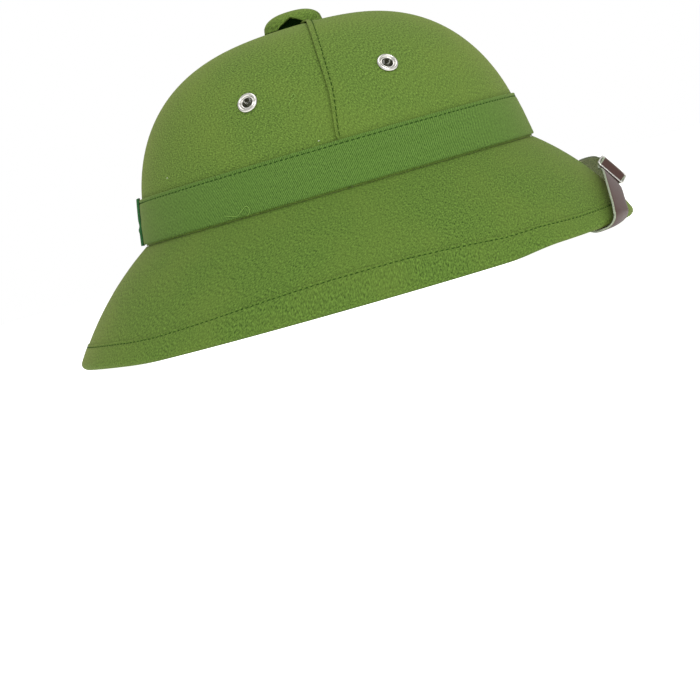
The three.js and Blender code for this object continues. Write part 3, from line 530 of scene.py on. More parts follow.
def plain_finish(
    name, colour, roughness, grain_mm, relief_mm, variation=0.15, metallic=0.0, coat=0.0, specular=0.5
):
    """A finish with a fine grain in its colour and relief: grain_mm apart and relief_mm deep."""
    material, tree, shader = new_material(name)
    body = add_node(tree, "ShaderNodeTexCoord", {}).outputs["Object"]
    grain = add_node(
        tree,
        "ShaderNodeTexNoise",
        {"Vector": body, "Scale": 1 / (grain_mm * MM), "Detail": 4, "Roughness": 0.6},
    ).outputs["Fac"]
    shade = add_node(
        tree,
        "ShaderNodeMapRange",
        {"Value": grain, "From Min": 0.3, "From Max": 0.7, "To Min": 1 - variation, "To Max": 1 + variation},
    ).outputs[0]
    tint = add_node(tree, "ShaderNodeVectorMath", {0: linear(colour)[:3]}, operation="SCALE")
    tree.links.new(shade, tint.inputs["Scale"])
    tree.links.new(tint.outputs[0], shader.inputs["Base Color"])
    bump = add_node(tree, "ShaderNodeBump", {"Height": grain, "Strength": 0.5, "Distance": relief_mm * MM})
    tree.links.new(bump.outputs[0], shader.inputs["Normal"])
    shader.inputs["Roughness"].default_value = roughness
    shader.inputs["Metallic"].default_value = metallic
    shader.inputs["Specular IOR Level"].default_value = specular
    shader.inputs["Coat Weight"].default_value = coat
    shader.inputs["Coat Roughness"].default_value = 0.25
    return material


# Cotton drill cover: mid green with a slightly olive bloom.
COVER_CLOTH = cotton_cloth("cotton_drill", "132405", "698638", "5f702c", 0.8, 0.15)
# The same drill on the brim, painted a shade darker: painted shade for the lesser light that the brim gets.
BRIM_CLOTH_PAINTED_SHADE = cotton_cloth("cotton_drill_brim_painted_shade", "102204", "607e32", "576829", 0.8, 0.15)
# The band is the same drill, a shade darker and bluer, with its ribs plain to see.
BAND_CLOTH = cotton_cloth("cotton_drill_band", "081a04", "618439", "436223", 1.0, 0.5)
# The tab is bound in a bluer tape, also painted darker: painted shade for the unlit back of the helmet.
TAB_CLOTH_PAINTED_SHADE = cotton_cloth("cotton_tape_painted_shade", "123a1c", "2f6438", "2d5a33", 0.9, 0.5)
# Sewing thread: mercerised cotton, darker than the cloth.
THREAD = plain_finish("sewing_thread", "1f3a0d", 0.9, grain_mm=0.3, relief_mm=0.02, specular=0.08)
# Loose ends of thread: paler, fluffed-out cotton.
LOOSE_THREAD = plain_finish("loose_thread", "6d8c42", 0.9, grain_mm=0.3, relief_mm=0.01, specular=0.1)
# Specks of white lint.
LINT_FLUFF = plain_finish("lint", "d8dcc8", 0.95, grain_mm=0.3, relief_mm=0.01)
# Moulded pith board: dull, rough and fibrous.
PITH = plain_finish("moulded_pith", "8d8f7a", 0.95, grain_mm=3.0, relief_mm=0.15, variation=0.12)
# Leatherette: coated cloth, dark brown with a low gloss.
LEATHERETTE = plain_finish(
    "leatherette", "33190f", 0.5, grain_mm=0.45, relief_mm=0.03, variation=0.18, coat=0.03, specular=0.38
)
# Its cut edges: fluffy cotton, grey-green with wear.
STRAP_EDGE = plain_finish(
    "strap_edge", "7b8270", 0.95, grain_mm=0.6, relief_mm=0.15, variation=0.4, specular=0.1
)
# Its woven back: pale, streaked cotton, painted paler than it is: painted light for the lit far half of the
# strap.
STRAP_BACK_PAINTED_LIGHT = plain_finish(
    "strap_backing_painted_light", "d2ccb8", 0.95, grain_mm=0.9, relief_mm=0.15, variation=0.45, specular=0.1
)
# The web in the vent: the cover's cloth, painted dark as painted shade for the inside of the cap.
VENT_PAINTED_SHADE = plain_finish("vent_web_painted_shade", "1c3a12", 0.95, grain_mm=0.6, relief_mm=0.05, specular=0.05)
# Nickel plate on steel wire and on the eyelets.
NICKEL = plain_finish(
    "nickel_plate", "bab8b2", 0.22, grain_mm=1.5, relief_mm=0.004, variation=0.06, metallic=1.0
)

# The floor's glow is painted light: full in a ring round the rim, where it washes out the helmet's shadow on
# the floor, fainter beyond, and none under the crown.
GLOW_STARTS_M = 0.08  # from the floor's middle
GLOW_FULL_M = 0.13
GLOW_FADES_M = 0.22
GLOW_FAR_M = 0.4
GLOW_FAR_SHARE = 0.35


def light_table():
    """The floor: a white table lit from below, but not under the crown, so that the hollow stays dark."""
    material, tree, shader = new_material("light_table")
    place_on_floor = add_node(tree, "ShaderNodeTexCoord", {}).outputs["Object"]
    reach = add_node(tree, "ShaderNodeVectorMath", {0: place_on_floor}, operation="LENGTH").outputs["Value"]
    inner = add_node(
        tree, "ShaderNodeMapRange", {"Value": reach, "From Min": GLOW_STARTS_M, "From Max": GLOW_FULL_M}
    ).outputs[0]
    outer = add_node(
        tree,
        "ShaderNodeMapRange",
        {
            "Value": reach,
            "From Min": GLOW_FADES_M,
            "From Max": GLOW_FAR_M,
            "To Min": 1.0,
            "To Max": GLOW_FAR_SHARE,
        },
    ).outputs[0]
    glow = add_node(tree, "ShaderNodeMath", {0: inner, 1: outer}, operation="MULTIPLY").outputs[0]
    tree.links.new(glow, shader.inputs["Emission Strength"])
    shader.inputs["Emission Color"].default_value = (1, 1, 1, 1)
    shader.inputs["Base Color"].default_value = linear("e8e8e6")
    shader.inputs["Roughness"].default_value = 0.9
    return material


STAGE_WHITE = light_table()


# Camera and light

CAMERA_PLACE = Vector((-9.9, -1500, 60.9)) * MM
CAMERA_AIM = Vector((-14, 0, -28.7)) * MM
HELMET_PITCH = np.radians(16)  # how far the picture shows the helmet tipped back
FOCAL_PIXELS = 2592
PICTURE_PIXELS = 700


def add_camera():
    """The photograph's view, turned so that the helmet that rests level looks tipped back as it was shown."""
    data = bpy.data.cameras.new("camera")
    data.sensor_width = 36
    data.lens = data.sensor_width * FOCAL_PIXELS / PICTURE_PIXELS
    camera = bpy.data.objects.new("camera", data)
    bpy.context.scene.collection.objects.link(camera)
    forward = (CAMERA_AIM - CAMERA_PLACE).normalized()
    right = forward.cross(Vector((np.sin(HELMET_PITCH), 0, np.cos(HELMET_PITCH)))).normalized()
    up = right.cross(forward)
    axes = np.array([right, up, -forward]).T
    matrix = np.eye(4)
    matrix[:3, :3] = axes
    matrix[:3, 3] = CAMERA_PLACE
    camera.matrix_world = Matrix(matrix.tolist())
    bpy.context.scene.camera = camera


def add_softbox(name, place_m, size_m, power):
    """A large square light that faces the helmet and doesn't show itself."""
    data = bpy.data.lights.new(name, "AREA")
    data.shape = "SQUARE"
    data.size = size_m
    data.energy = power
    light = bpy.data.objects.new(name, data)
    light.location = place_m
    light.rotation_mode = "QUATERNION"
    light.rotation_quaternion = Vector(place_m).to_track_quat("Z", "Y")
    light.visible_camera = False
    bpy.context.scene.collection.objects.link(light)


FLOOR_HALF_M = 3.0
# Each softbox: its place and side in metres, and its watts.
SOFTBOXES = {
    "softbox_front": ((0.7, -1.9, 1.2), 1.2, 24),
    "softbox_top": ((0.2, -0.3, 2.2), 1.4, 18),
}


def add_studio():
    """A pale floor, a white surround and two softboxes."""
    mesh = bpy.data.meshes.new("studio_floor")
    floor_corners = [(FLOOR_HALF_M * x, FLOOR_HALF_M * y, 0) for x, y in ((-1, -1), (1, -1), (1, 1), (-1, 1))]
    mesh.from_pydata(floor_corners, [], [(0, 1, 2, 3)])
    floor = bpy.data.objects.new("studio_floor", mesh)
    mesh.materials.append(STAGE_WHITE)
    bpy.context.scene.collection.objects.link(floor)
    world = bpy.data.worlds.new("surround")
    world.use_nodes = True
    world.node_tree.nodes["Background"].inputs["Color"].default_value = (1, 1, 1, 1)
    world.node_tree.nodes["Background"].inputs["Strength"].default_value = 1.0
    bpy.context.scene.world = world
    for name, (place_m, size_m, power) in SOFTBOXES.items():
        add_softbox(name, place_m, size_m, power)
    bpy.context.scene.view_settings.view_transform = "Standard"


# Pieces

RING_STEPS = 360
RING = np.linspace(0, 2 * np.pi, RING_STEPS, endpoint=False)[:, None]


def add_shell():
    """The moulded shell: dome, brim and rounded rim edge as one wall under the cloth."""
    brim = Brim(RING)
    start = turn_at_reach(RING, VENT_HOLE_RADIUS)
    turns = start + (np.pi / 2 - start) * np.linspace(0, 1, 42)[None, :]
    dome_r, dome_z = dome_point(RING, turns)
    bow_r, bow_z = brim.bow(np.linspace(0, 1, 26)[None, 1:])
    r = np.hstack([dome_r, bow_r])
    z = np.hstack([dome_z, bow_z])
    along_r, along_z = np.gradient(r, axis=1), np.gradient(z, axis=1)
    length = np.hypot(along_r, along_z)
    out_r, out_z = -along_z / length, along_r / length

    def layer(offset):
        return place(RING, r + offset * out_r, z + offset * out_z)

    outside = -(CLOTH + GAP)
    edge = brim.tangent - np.linspace(0, np.pi, 9)[None, 1:-1]
    edge_points = place(RING, *brim.roll(edge, SHELL_WALL / 2))
    loops = np.concatenate([layer(outside), edge_points, layer(outside - SHELL_WALL)[:, ::-1]], 1)
    return add_piece("pith_shell", loft("pith_shell", loops, closed=True), [PITH], "moulded_pith", "shell")


def crown_rows(angle, count, low):
    """Turns of the dome from the vent hole down to a low height, one column for each angle."""
    start = turn_at_reach(angle, VENT_HOLE_RADIUS)
    end = turn_at_height(angle, low)
    share = np.linspace(0, 1, count)[None, :]
    return start + (end - start) * share


def crown_map(angle, points):
    """Flat places of the crown's cloth: its length from the pole, laid out at its own angle."""
    steps = np.linalg.norm(np.diff(points, axis=1), axis=-1)
    length = np.concatenate([np.full((len(points), 1), VENT_HOLE_RADIUS), steps], 1).cumsum(1)
    return np.stack([length * np.cos(angle), length * np.sin(angle)], -1)


def wall_loops(outer, inner):
    """Loops of a wall from its outer and inner rows."""
    return np.concatenate([outer, inner[:, ::-1]], 1)


def wall_map(flat):
    """The same flat places for both faces of a wall."""
    loop = np.concatenate([flat, flat[:, ::-1]], 1)
    return np.concatenate([loop, loop[:, :1]], 1)


PANEL_MARGIN = 0.2  # of each panel's cut edge to the seam
SEAM_DIP = 0.55  # the rear panel is drawn in beside the fold
SEAM_DIP_WIDTH = 0.9
COVER_LOW = 0.15  # the crown's cloth ends this far above its foot, under the band
BRIM_COVER_START = 0.002  # share of the slope; it begins under the band
BRIM_COVER_GAP = 0.1  # to the hem's edge
CROWN_ROWS = 72
SEAM_BOW = 3.2  # how far forward the seam runs above the band
SEAM_BOW_RISE = 30  # height above the band's edge over which it comes forward
SEAM_BOW_REACHES = (5, 25)  # from the crown's pole, where it goes back under the vent cap


def seam_bow(reach, height):
    """How far the seam lies in front of its plane: nothing at the band and at the vent, and full between."""
    risen = smoothstep(height - CROWN_FOOT_HEIGHT, BAND_HEIGHT, BAND_HEIGHT + SEAM_BOW_RISE)
    return SEAM_BOW * risen * smoothstep(reach, *SEAM_BOW_REACHES)


def add_crown_rear(holes):
    """The rear panel of the crown, from seam to seam round the back."""
    seam_r, seam_z = dome_point(np.pi / 2, crown_rows(np.array([[np.pi / 2]]), CROWN_ROWS, COVER_LOW))
    bow = seam_bow(seam_r, seam_z)
    margin = np.arcsin((PANEL_MARGIN - bow) / seam_r)
    near = np.linspace(0, 0.035, 12)[:-1]
    share = np.concatenate([near, np.linspace(0.035, 0.965, 120), 1 - near[::-1]])[:, None]
    angle = np.pi / 2 + margin + (np.pi - 2 * margin) * share
    turns = crown_rows(angle, CROWN_ROWS, COVER_LOW)
    fold_edge = bow - dome_point(angle, turns)[0] * np.cos(angle) + LAP_SECTION[0, 0]
    outer = place(angle, *dome(angle, turns, -SEAM_DIP * bell(fold_edge, 0, SEAM_DIP_WIDTH)))
    inner = place(angle, *dome(angle, turns, -CLOTH))
    mesh = loft("crown_cover_rear", wall_loops(outer, inner), flat=wall_map(crown_map(angle, outer)))
    piece = add_piece("crown_cover_rear", mesh, [COVER_CLOTH], "green_cloth", "crown_cloth_rear")
    return bore(piece, holes)


# Section of the folded edge along the crown's seam: shift in front of the seam, and how far its outer and its
# inner face stand off the cloth's skin.
LAP_SECTION = np.array(
    [
        (-1.40, 0.75, 0.60),
        (-1.38, 1.10, 0.50),
        (-1.20, 1.35, 0.45),
        (-0.85, 1.48, 0.40),
        (-0.30, 1.50, 0.35),
        (0.25, 1.40, 0.30),
        (0.70, 1.10, -0.40),
        (1.15, 0.62, -1.00),
        (1.60, 0.22, -1.00),
        (2.00, 0.15, -1.00),
        (2.40, 0.34, -1.00),
        (2.90, 0.40, -1.00),
        (3.70, 0.26, -1.00),
        (4.80, 0.08, -1.00),
        (6.00, 0.00, -1.00),
    ]
)
LAP_FOOT_WIDTH = 0.6  # share of its width where it goes under the band
SEAM_STITCH_SHIFT = 1.75


def lap_fade(height):
    """The fold's width share, narrower towards the band, and how much of it is left under the band."""
    width = LAP_FOOT_WIDTH + (1 - LAP_FOOT_WIDTH) * smoothstep(height, BAND_HEIGHT, CROWN_HEIGHT * 0.85)
    left = smoothstep(height, BAND_HEIGHT - 0.3, BAND_HEIGHT + 1.2)
    return width, left


def add_crown_front(holes):
    """The front panel: its folded edge lies over the rear panel along each seam, held by stitches."""
    seam = np.array([[np.pi / 2]])
    turns = crown_rows(seam, CROWN_ROWS, COVER_LOW)
    seam_r, seam_z = dome_point(seam, turns)
    width, left = lap_fade(seam_z - CROWN_FOOT_HEIGHT)
    shift = LAP_SECTION[:, :1] * width
    tucked = PANEL_MARGIN + 0.05 * np.arange(len(shift))[:, None]
    shift = tucked + (shift - tucked) * left
    lap_outer = LAP_SECTION[:, 1:2] * left
    lap_inner = -CLOTH + (LAP_SECTION[:, 2:] + CLOTH) * left
    bow = seam_bow(seam_r, seam_z)
    lap_angle = np.pi / 2 - np.arcsin((shift + bow) / seam_r)
    share = np.linspace(-1, 1, 126)[1:-1, None]
    angle = np.vstack([-lap_angle, share * lap_angle[-1:], lap_angle[::-1]])
    flat_rows = np.zeros((len(share), CROWN_ROWS))
    outer_offset = np.vstack([lap_outer, flat_rows, lap_outer[::-1]])
    inner_offset = np.vstack([lap_inner, flat_rows - CLOTH, lap_inner[::-1]])
    start = turn_at_reach(angle, VENT_HOLE_RADIUS)
    turn = start + (turn_at_height(angle, COVER_LOW) - start) * np.linspace(0, 1, CROWN_ROWS)[None, :]
    outer = place(angle, *dome(angle, turn, outer_offset))
    inner = place(angle, *dome(angle, turn, inner_offset))
    mesh = loft("crown_cover_front", wall_loops(outer, inner), flat=wall_map(crown_map(angle, outer)))
    piece = add_piece("crown_cover_front", mesh, [COVER_CLOTH], "green_cloth", "crown_cloth_front")
    return bore(piece, holes)


def add_brim_cover():
    """The brim's cloth, from under the band down to the hem."""
    brim = Brim(RING)
    end = 1 - (hem_width(RING) + BRIM_COVER_GAP) / brim.slope
    share = BRIM_COVER_START + (end - BRIM_COVER_START) * np.linspace(0, 1, 30)[None, :]
    outer = place(RING, *brim.bow(share))
    inner = place(RING, *brim.bow(share, -CLOTH))
    mesh = loft("brim_cover", wall_loops(outer, inner), closed=True)
    return add_piece("brim_cover", mesh, [BRIM_CLOTH_PAINTED_SHADE], "green_cloth", "brim_cloth")


HEM_FOLD_RADIUS = 0.5
HEM_STITCH_DEPTH = 1.9  # below the hem's folded edge
HEM_PINCH = 0.32
HEM_PINCH_REACH = 0.55
HEM_SWELL = 0.15  # share by which the fold is fuller than the hem
HEM_SWELL_DEPTH = 0.8
HEM_SWELL_REACH = 0.5
HEM_FOLD_ROWS = np.array([[0, 0.08, 0.2, 0.4, 0.7, 1.0, 1.3, 1.6, 1.9, 2.2, 2.5, 3.0]])
HEM_FLAT_START = 3.8


def hem_profile(depth):
    """How far the hem stands proud of the brim's cloth, by the depth below its edge: a rounded fold, pinched
    at the stitches and full below them."""
    fold = folded_edge(depth, HEM_FOLD_RADIUS) + HEM_SWELL * bell(depth, HEM_SWELL_DEPTH, HEM_SWELL_REACH)
    return HEM_PROUD * fold - HEM_PINCH * bell(depth, HEM_STITCH_DEPTH, HEM_PINCH_REACH)


def add_hem():
    """The hem: cloth folded round the rim, as wide below as above, with a flat foot."""
    brim = Brim(RING)
    width = hem_width(RING)
    flat_rows = HEM_FLAT_START + (width - HEM_FLAT_START) * np.linspace(0, 1, 12)[None, :]
    depth = np.hstack([np.repeat(HEM_FOLD_ROWS, RING_STEPS, axis=0), flat_rows])
    share = 1 - (width - depth) / brim.slope
    top = place(RING, *brim.bow(share, hem_profile(depth)))
    top_inner = place(RING, *brim.bow(share[:, ::4], -CLOTH))
    down = -np.pi / 2
    before, after = down + RIM_FLAT_ANGLE, down - RIM_FLAT_ANGLE
    first = brim.tangent + (before - brim.tangent) * np.linspace(0, 1, 12)[None, 1:]
    last = after + (brim.tangent - np.pi - after) * np.linspace(0, 1, 8)[None, :-1]
    turns = np.hstack([first, last])
    thickness = CLOTH + HEM_PROUD
    roll = place(RING, *brim.roll(turns, RIM_RADIUS))
    roll_inner = place(RING, *brim.roll(turns[:, ::2], RIM_RADIUS - thickness))
    underside = -(CLOTH + 2 * GAP + SHELL_WALL)
    under = place(RING, *brim.bow(share[:, ::-3], underside - thickness))
    under_inner = place(RING, *brim.bow(share[:, ::4][:, ::-1], underside))
    outer = np.concatenate([top, roll, under], 1)
    inner = np.concatenate([top_inner, roll_inner, under_inner], 1)
    mesh = loft("rim_hem", np.concatenate([outer, inner[:, ::-1]], 1), closed=True)
    return add_piece("rim_hem", mesh, [BRIM_CLOTH_PAINTED_SHADE], "green_cloth", "brim_binding")


# Soft folds of the band, one to a line: where it is fullest in degrees round, its half length in degrees, its
# height share there, its lean, and its height and half width in mm.
BAND_FOLDS = np.array(
    [
        (-75, 42, 0.66, 0.10, 1.00, 1.9),
        (-62, 34, 0.36, 0.16, 0.70, 2.3),
        (-108, 30, 0.52, -0.08, 0.26, 2.8),
        (-30, 30, 0.60, 0.05, 0.22, 2.4),
        (-140, 28, 0.34, 0.10, 0.22, 2.8),
        (20, 34, 0.50, -0.12, 0.26, 2.6),
        (62, 36, 0.62, 0.10, 0.34, 2.4),
        (100, 34, 0.38, -0.14, 0.30, 2.6),
        (142, 30, 0.58, 0.10, 0.26, 2.6),
        (180, 24, 0.42, 0.06, 0.18, 2.6),
    ]
)
BAND_FOLD_RADIUS = 0.55
BAND_STITCH_DEPTH = 2.2  # below the band's top edge
BAND_PINCH = 0.42
BAND_PINCH_REACH = 0.6
BAND_FOLDS_BEGIN = (2.2, 5)  # below the band's top edge
BAND_FOOT_THIN = 0.35  # share by which its folded foot is thinner
BAND_FOOT_HEIGHTS = (0.8, 1.6)
# Rows of the band as shares of its height, closer together at its two edges.
BAND_ROWS = np.concatenate(
    [
        [1.0, 0.997, 0.99, 0.978, 0.962, 0.95, 0.938, 0.925, 0.91, 0.89],
        np.linspace(0.86, 0.06, 26),
        [0.045, 0.035],
    ]
)[None, :]


def band_folds(angle, share):
    """Sum of long soft ridges: each is a bell across the band, faded along its length by a cosine window."""
    total = np.zeros(np.broadcast(angle, share).shape)
    for middle, reach, level, lean, height, width in BAND_FOLDS:
        along = (np.degrees(angle) - middle + 180) % 360 - 180
        window = np.cos(np.clip(along / reach, -1, 1) * np.pi / 2) ** 2
        across = (share - level - lean * along / reach) * BAND_HEIGHT / width
        total = total + height * window * (bell(across, 0, 1) - 0.4 * bell(across, 1.6, 1))
    return total


def add_band():
    """The band: a doubled strip with a folded top edge, a row of stitches below it, soft folds along it and a
    folded foot that stands a little off the brim."""
    ring = np.linspace(0, 2 * np.pi, 540, endpoint=False)[:, None]
    turns = turn_at_height(ring, BAND_ROWS * BAND_HEIGHT)
    depth = (1 - BAND_ROWS) * BAND_HEIGHT
    low, high = BAND_FOOT_HEIGHTS
    foot = 1 - BAND_FOOT_THIN * smoothstep(-BAND_ROWS * BAND_HEIGHT, -high, -low)
    thickness = BAND_THICKNESS * folded_edge(depth, BAND_FOLD_RADIUS) * foot
    pinch = BAND_PINCH * bell(depth, BAND_STITCH_DEPTH, BAND_PINCH_REACH)
    offset = GAP + thickness - pinch + band_folds(ring, BAND_ROWS) * smoothstep(depth, *BAND_FOLDS_BEGIN)
    outer = place(ring, *dome(ring, turns, offset))
    inner = place(ring, *dome(ring, turns[:, ::3], GAP))
    loops = np.concatenate([outer, inner[:, ::-1]], 1)
    mesh = loft("crown_band", loops, closed=True)
    return add_piece("crown_band", mesh, [BAND_CLOTH], "band_cloth", "band")


TAB_FOLD_RADIUS = 0.7
TAB_CREASE = 12  # above the crown's foot; the cloth bulges just below it


def add_band_tab():
    """The tab over the band's joint at the back: a strip folded over at its top, with one crease."""
    across = np.linspace(-1, 1, 25)[:, None]
    top = BAND_HEIGHT + TAB_RISE
    height = np.linspace(top, 0.5, 46)[None, :]
    half = TAB_WIDTH / 2
    seat = GAP + BAND_THICKNESS + GAP
    reach = crown_reach(np.pi)
    angle = np.pi + across * half / reach
    turns = turn_at_height(angle, height)
    side_round = np.sqrt(np.clip(1 - np.abs(across) ** 8, 0, 1))
    end_round = folded_edge(top - height, TAB_FOLD_RADIUS)
    crease = 0.3 * bell(height, TAB_CREASE - 2.5, 1.2) - 0.25 * bell(height, TAB_CREASE, 2.0)
    offset = seat + TAB_THICKNESS * side_round * end_round * (1 + crease)
    outer = place(angle, *dome(angle, turns, offset))
    inner = place(angle, *dome(angle, turns, seat - 0.05))
    mesh = loft("band_tab", wall_loops(outer, inner))
    return add_piece("band_tab", mesh, [TAB_CLOTH_PAINTED_SHADE], "band_cloth", "band_rear_tab")


# Vent cap

VENT_POWERS = (2.6, 2.2)
VENT_WALL = 1.6
VENT_MOUTH_HEIGHT = 5.6
VENT_MOUTH_REAR = -9.8  # ends of each mouth, from the cap's middle
VENT_MOUTH_FRONT = 7.2
VENT_MOUTH_PEAK = -0.8


def vent_mouth(x):
    """Height of the mouth's arch: a long rise from its rear end to its peak, then a short fall."""
    rise = np.clip((x - VENT_MOUTH_REAR) / (VENT_MOUTH_PEAK - VENT_MOUTH_REAR), 0, 1)
    fall = np.clip((VENT_MOUTH_FRONT - x) / (VENT_MOUTH_FRONT - VENT_MOUTH_PEAK), 0, 1)
    return VENT_MOUTH_HEIGHT * np.minimum(rise**0.85, fall**0.7)


def vent_rise(share, shrink):
    """Height of the cap's profile, a superellipse, at a share of its reach."""
    full = VENT_HIGH[2] - VENT_LOW[2] - shrink
    return full * (1 - share ** VENT_POWERS[0]) ** (1 / VENT_POWERS[1])


def vent_dome(angle, share, shrink):
    """Point of the cap's dome over its middle: the profile on an oval foot, `shrink` inside its skin."""
    size = (VENT_HIGH - VENT_LOW) / 2
    reach = 1 / np.hypot(np.cos(angle) / (size[0] - shrink), np.sin(angle) / (size[1] - shrink))
    return reach * share * np.cos(angle), reach * share * np.sin(angle), vent_rise(share, shrink)


def add_vent_cap():
    """The cloth-covered cap over the vent: a dome whose skirt is cut by an arched mouth on each side."""
    angle = np.linspace(0, 2 * np.pi, 160, endpoint=False)[:, None]
    fine = np.linspace(0, 1, 400)[None, :]
    x, _, height = vent_dome(angle, fine, 0)
    last = np.argmax(height <= vent_mouth(x) + 1e-9, axis=1)
    end = fine[0, last][:, None]
    end = (np.roll(end, 1, 0) + 2 * end + np.roll(end, -1, 0)) / 4
    share = np.concatenate([[0], np.linspace(0.08, 1, 26)])[None, :] * end
    centre = np.array([(VENT_LOW[0] + VENT_HIGH[0]) / 2, 0, VENT_LOW[2]])

    def skin(shrink, rows):
        return np.stack(vent_dome(angle, rows, shrink), -1) + centre

    outer = skin(0, share)
    inner = skin(VENT_WALL, share * 0.985)
    lip = (outer[:, -1:] + inner[:, -1:]) / 2 + 0.35 * unit(outer[:, -1:] - outer[:, -3:-2])
    loops = np.concatenate([outer, lip, inner[:, ::-1]], 1)
    mesh = weld(loft("vent_cap_cover", loops, closed=True))
    return add_piece("vent_cap_cover", mesh, [COVER_CLOTH], "green_cloth", "vent_cap")


VENT_WEB = 2.4


def add_vent_web():
    """The upright web inside the cap, which closes the view from one mouth to the other; painted dark, as
    shade.
    """
    size = (VENT_HIGH - VENT_LOW) / 2
    x = np.linspace(-1, 1, 40)[:, None] * (size[0] - VENT_WALL - 0.4)
    share = np.abs(x) / size[0]
    top = vent_rise(share, VENT_WALL) - 0.2
    side = np.array([-1, -1, 1, 1]) * VENT_WEB / 2
    level = np.array([0, 1, 1, 0])
    middle = (VENT_LOW[0] + VENT_HIGH[0]) / 2
    loops = np.stack(np.broadcast_arrays(middle + x, side, VENT_LOW[2] + np.maximum(top, 0.2) * level), -1)
    return add_piece("vent_web", loft("vent_web", loops), [VENT_PAINTED_SHADE], "green_cloth")


# Eyelets and rivets


def crown_place(x, height, side):
    """The crown's point at a distance in front of the seam's plane and at a height, found by halving, with
    its axes: round the crown, up it and out of it."""
    low, high = 0.0, np.pi
    for _ in range(40):
        middle = (low + high) / 2
        reach = dome_point(middle, turn_at_height(middle, height))[0] * np.cos(middle)
        low, high = (middle, high) if reach > x else (low, middle)
    angle = side * low
    turn = turn_at_height(angle, height)
    point = place(angle, *dome_point(angle, turn))
    round_it = place(angle + 0.01, *dome_point(angle + 0.01, turn_at_height(angle + 0.01, height))) - point
    upward = place(angle, *dome_point(angle, turn - 0.01)) - point
    normal = unit(np.cross(round_it, upward))
    across = unit(round_it - (round_it @ normal) * normal)
    return np.column_stack([across, np.cross(normal, across), normal, point])


EYELETS = {
    f"{end}_{side}": crown_place(reach, EYELET_HEIGHT, sign)
    for side, sign in SIDES.items()
    for end, reach in EYELET_REACHES.items()
}
WALL_DEPTH = CLOTH + GAP + SHELL_WALL

# Section of an eyelet's rolled flange: radius, and rise above the cloth.
EYELET_SECTION = np.array(
    [
        (3.00, 0.05),
        (3.15, 0.55),
        (3.60, 0.70),
        (3.95, 0.45),
        (4.30, 0.95),
        (4.90, 1.30),
        (5.50, 1.05),
        (5.88, 0.60),
        (5.92, 0.28),
        (5.40, 0.22),
        (4.30, 0.15),
        (3.30, 0.10),
    ]
)
# Section of the edge turned over inside: radius, and rise above the shell's inner face.
EYELET_INSIDE = np.array([(3.3, -0.1), (4.9, -0.1), (4.7, -0.7), (3.6, -0.9), (3.0, -0.5)])
PLUG_REACH = 3.0  # how far a hole's plug passes each face


def eyelet_hole(matrix):
    """A closed plug a little wider than an eyelet's barrel."""
    wide, thin = EYELET_BARREL + GAP, 0.02
    high, low = PLUG_REACH, -WALL_DEPTH - PLUG_REACH
    profile = np.array([(wide, high), (wide, low), (thin, low), (thin, high)])
    return loft("eyelet_hole", lathe(profile, 24, matrix), closed=True)


def add_eyelets():
    """Four nickel eyelets: a rolled flange on the cloth, a barrel through the wall, a turned edge inside."""
    inside = EYELET_INSIDE - (0, WALL_DEPTH)
    section = np.vstack([rounded(EYELET_SECTION, 3), rounded(inside, 2)])
    for name, matrix in EYELETS.items():
        end, side = name.split("_")
        mesh = loft(f"eyelet_ring_{name}", lathe(section, 48, matrix), closed=True)
        add_piece(f"eyelet_ring_{name}", mesh, [NICKEL], "nickel_plate", f"eyelet_{end}_{side}")


# Chin strap

RIM_STEPS = 480
RIM_ANGLES = np.linspace(0, np.pi, RIM_STEPS + 1)
RIM_POINTS = place(RIM_ANGLES, brim_reach(RIM_ANGLES), 0.0)
RIM_LENGTHS = np.concatenate([[0], np.cumsum(np.linalg.norm(np.diff(RIM_POINTS, axis=0), axis=1))])
STRAP_SEAT = HEM_PROUD + STRAP_GAP + STRAP_THICKNESS / 2


def strap_point(along, down, height):
    """A point of the strap's course: along the rim from the front tip, down past the rim's tangent line and
    off the skin. It follows the brim's bow, then the roll, and past the tuck a straight line off the roll."""
    along, down, height = np.broadcast_arrays(along, down, height)
    angle = -np.sign(along) * np.interp(np.abs(along), RIM_LENGTHS, RIM_ANGLES)
    brim = Brim(angle)
    bow = place(angle, *brim.bow(1 + np.minimum(down, 0) / brim.slope, height))
    wrapped = np.clip(down / (SKIN_RADIUS + STRAP_SEAT), 0, brim.tangent + STRAP_TUCK_ANGLE)
    turn = brim.tangent - wrapped
    beyond = np.maximum(down, 0) - wrapped * (SKIN_RADIUS + STRAP_SEAT)
    radius = SKIN_RADIUS + height
    roll = place(
        angle,
        brim.centre_r + radius * np.cos(turn) + beyond * np.sin(turn),
        brim.centre_z + radius * np.sin(turn) - beyond * np.cos(turn),
    )
    return np.where((down < 0)[..., None], bow, roll)


def strap_run(along):
    """Length over the brim of the half that a place along the rim lies in."""
    return np.where(along > STRAP_PEAK, STRAP_RUN, STRAP_FAR_RUN)


def far_share(along):
    """Share of the way from the buckle to the far end of the strap's stretch over the brim."""
    return np.clip((BUCKLE_PLACE - along) / (BUCKLE_PLACE - STRAP_PEAK + STRAP_FAR_RUN), 0, 1)


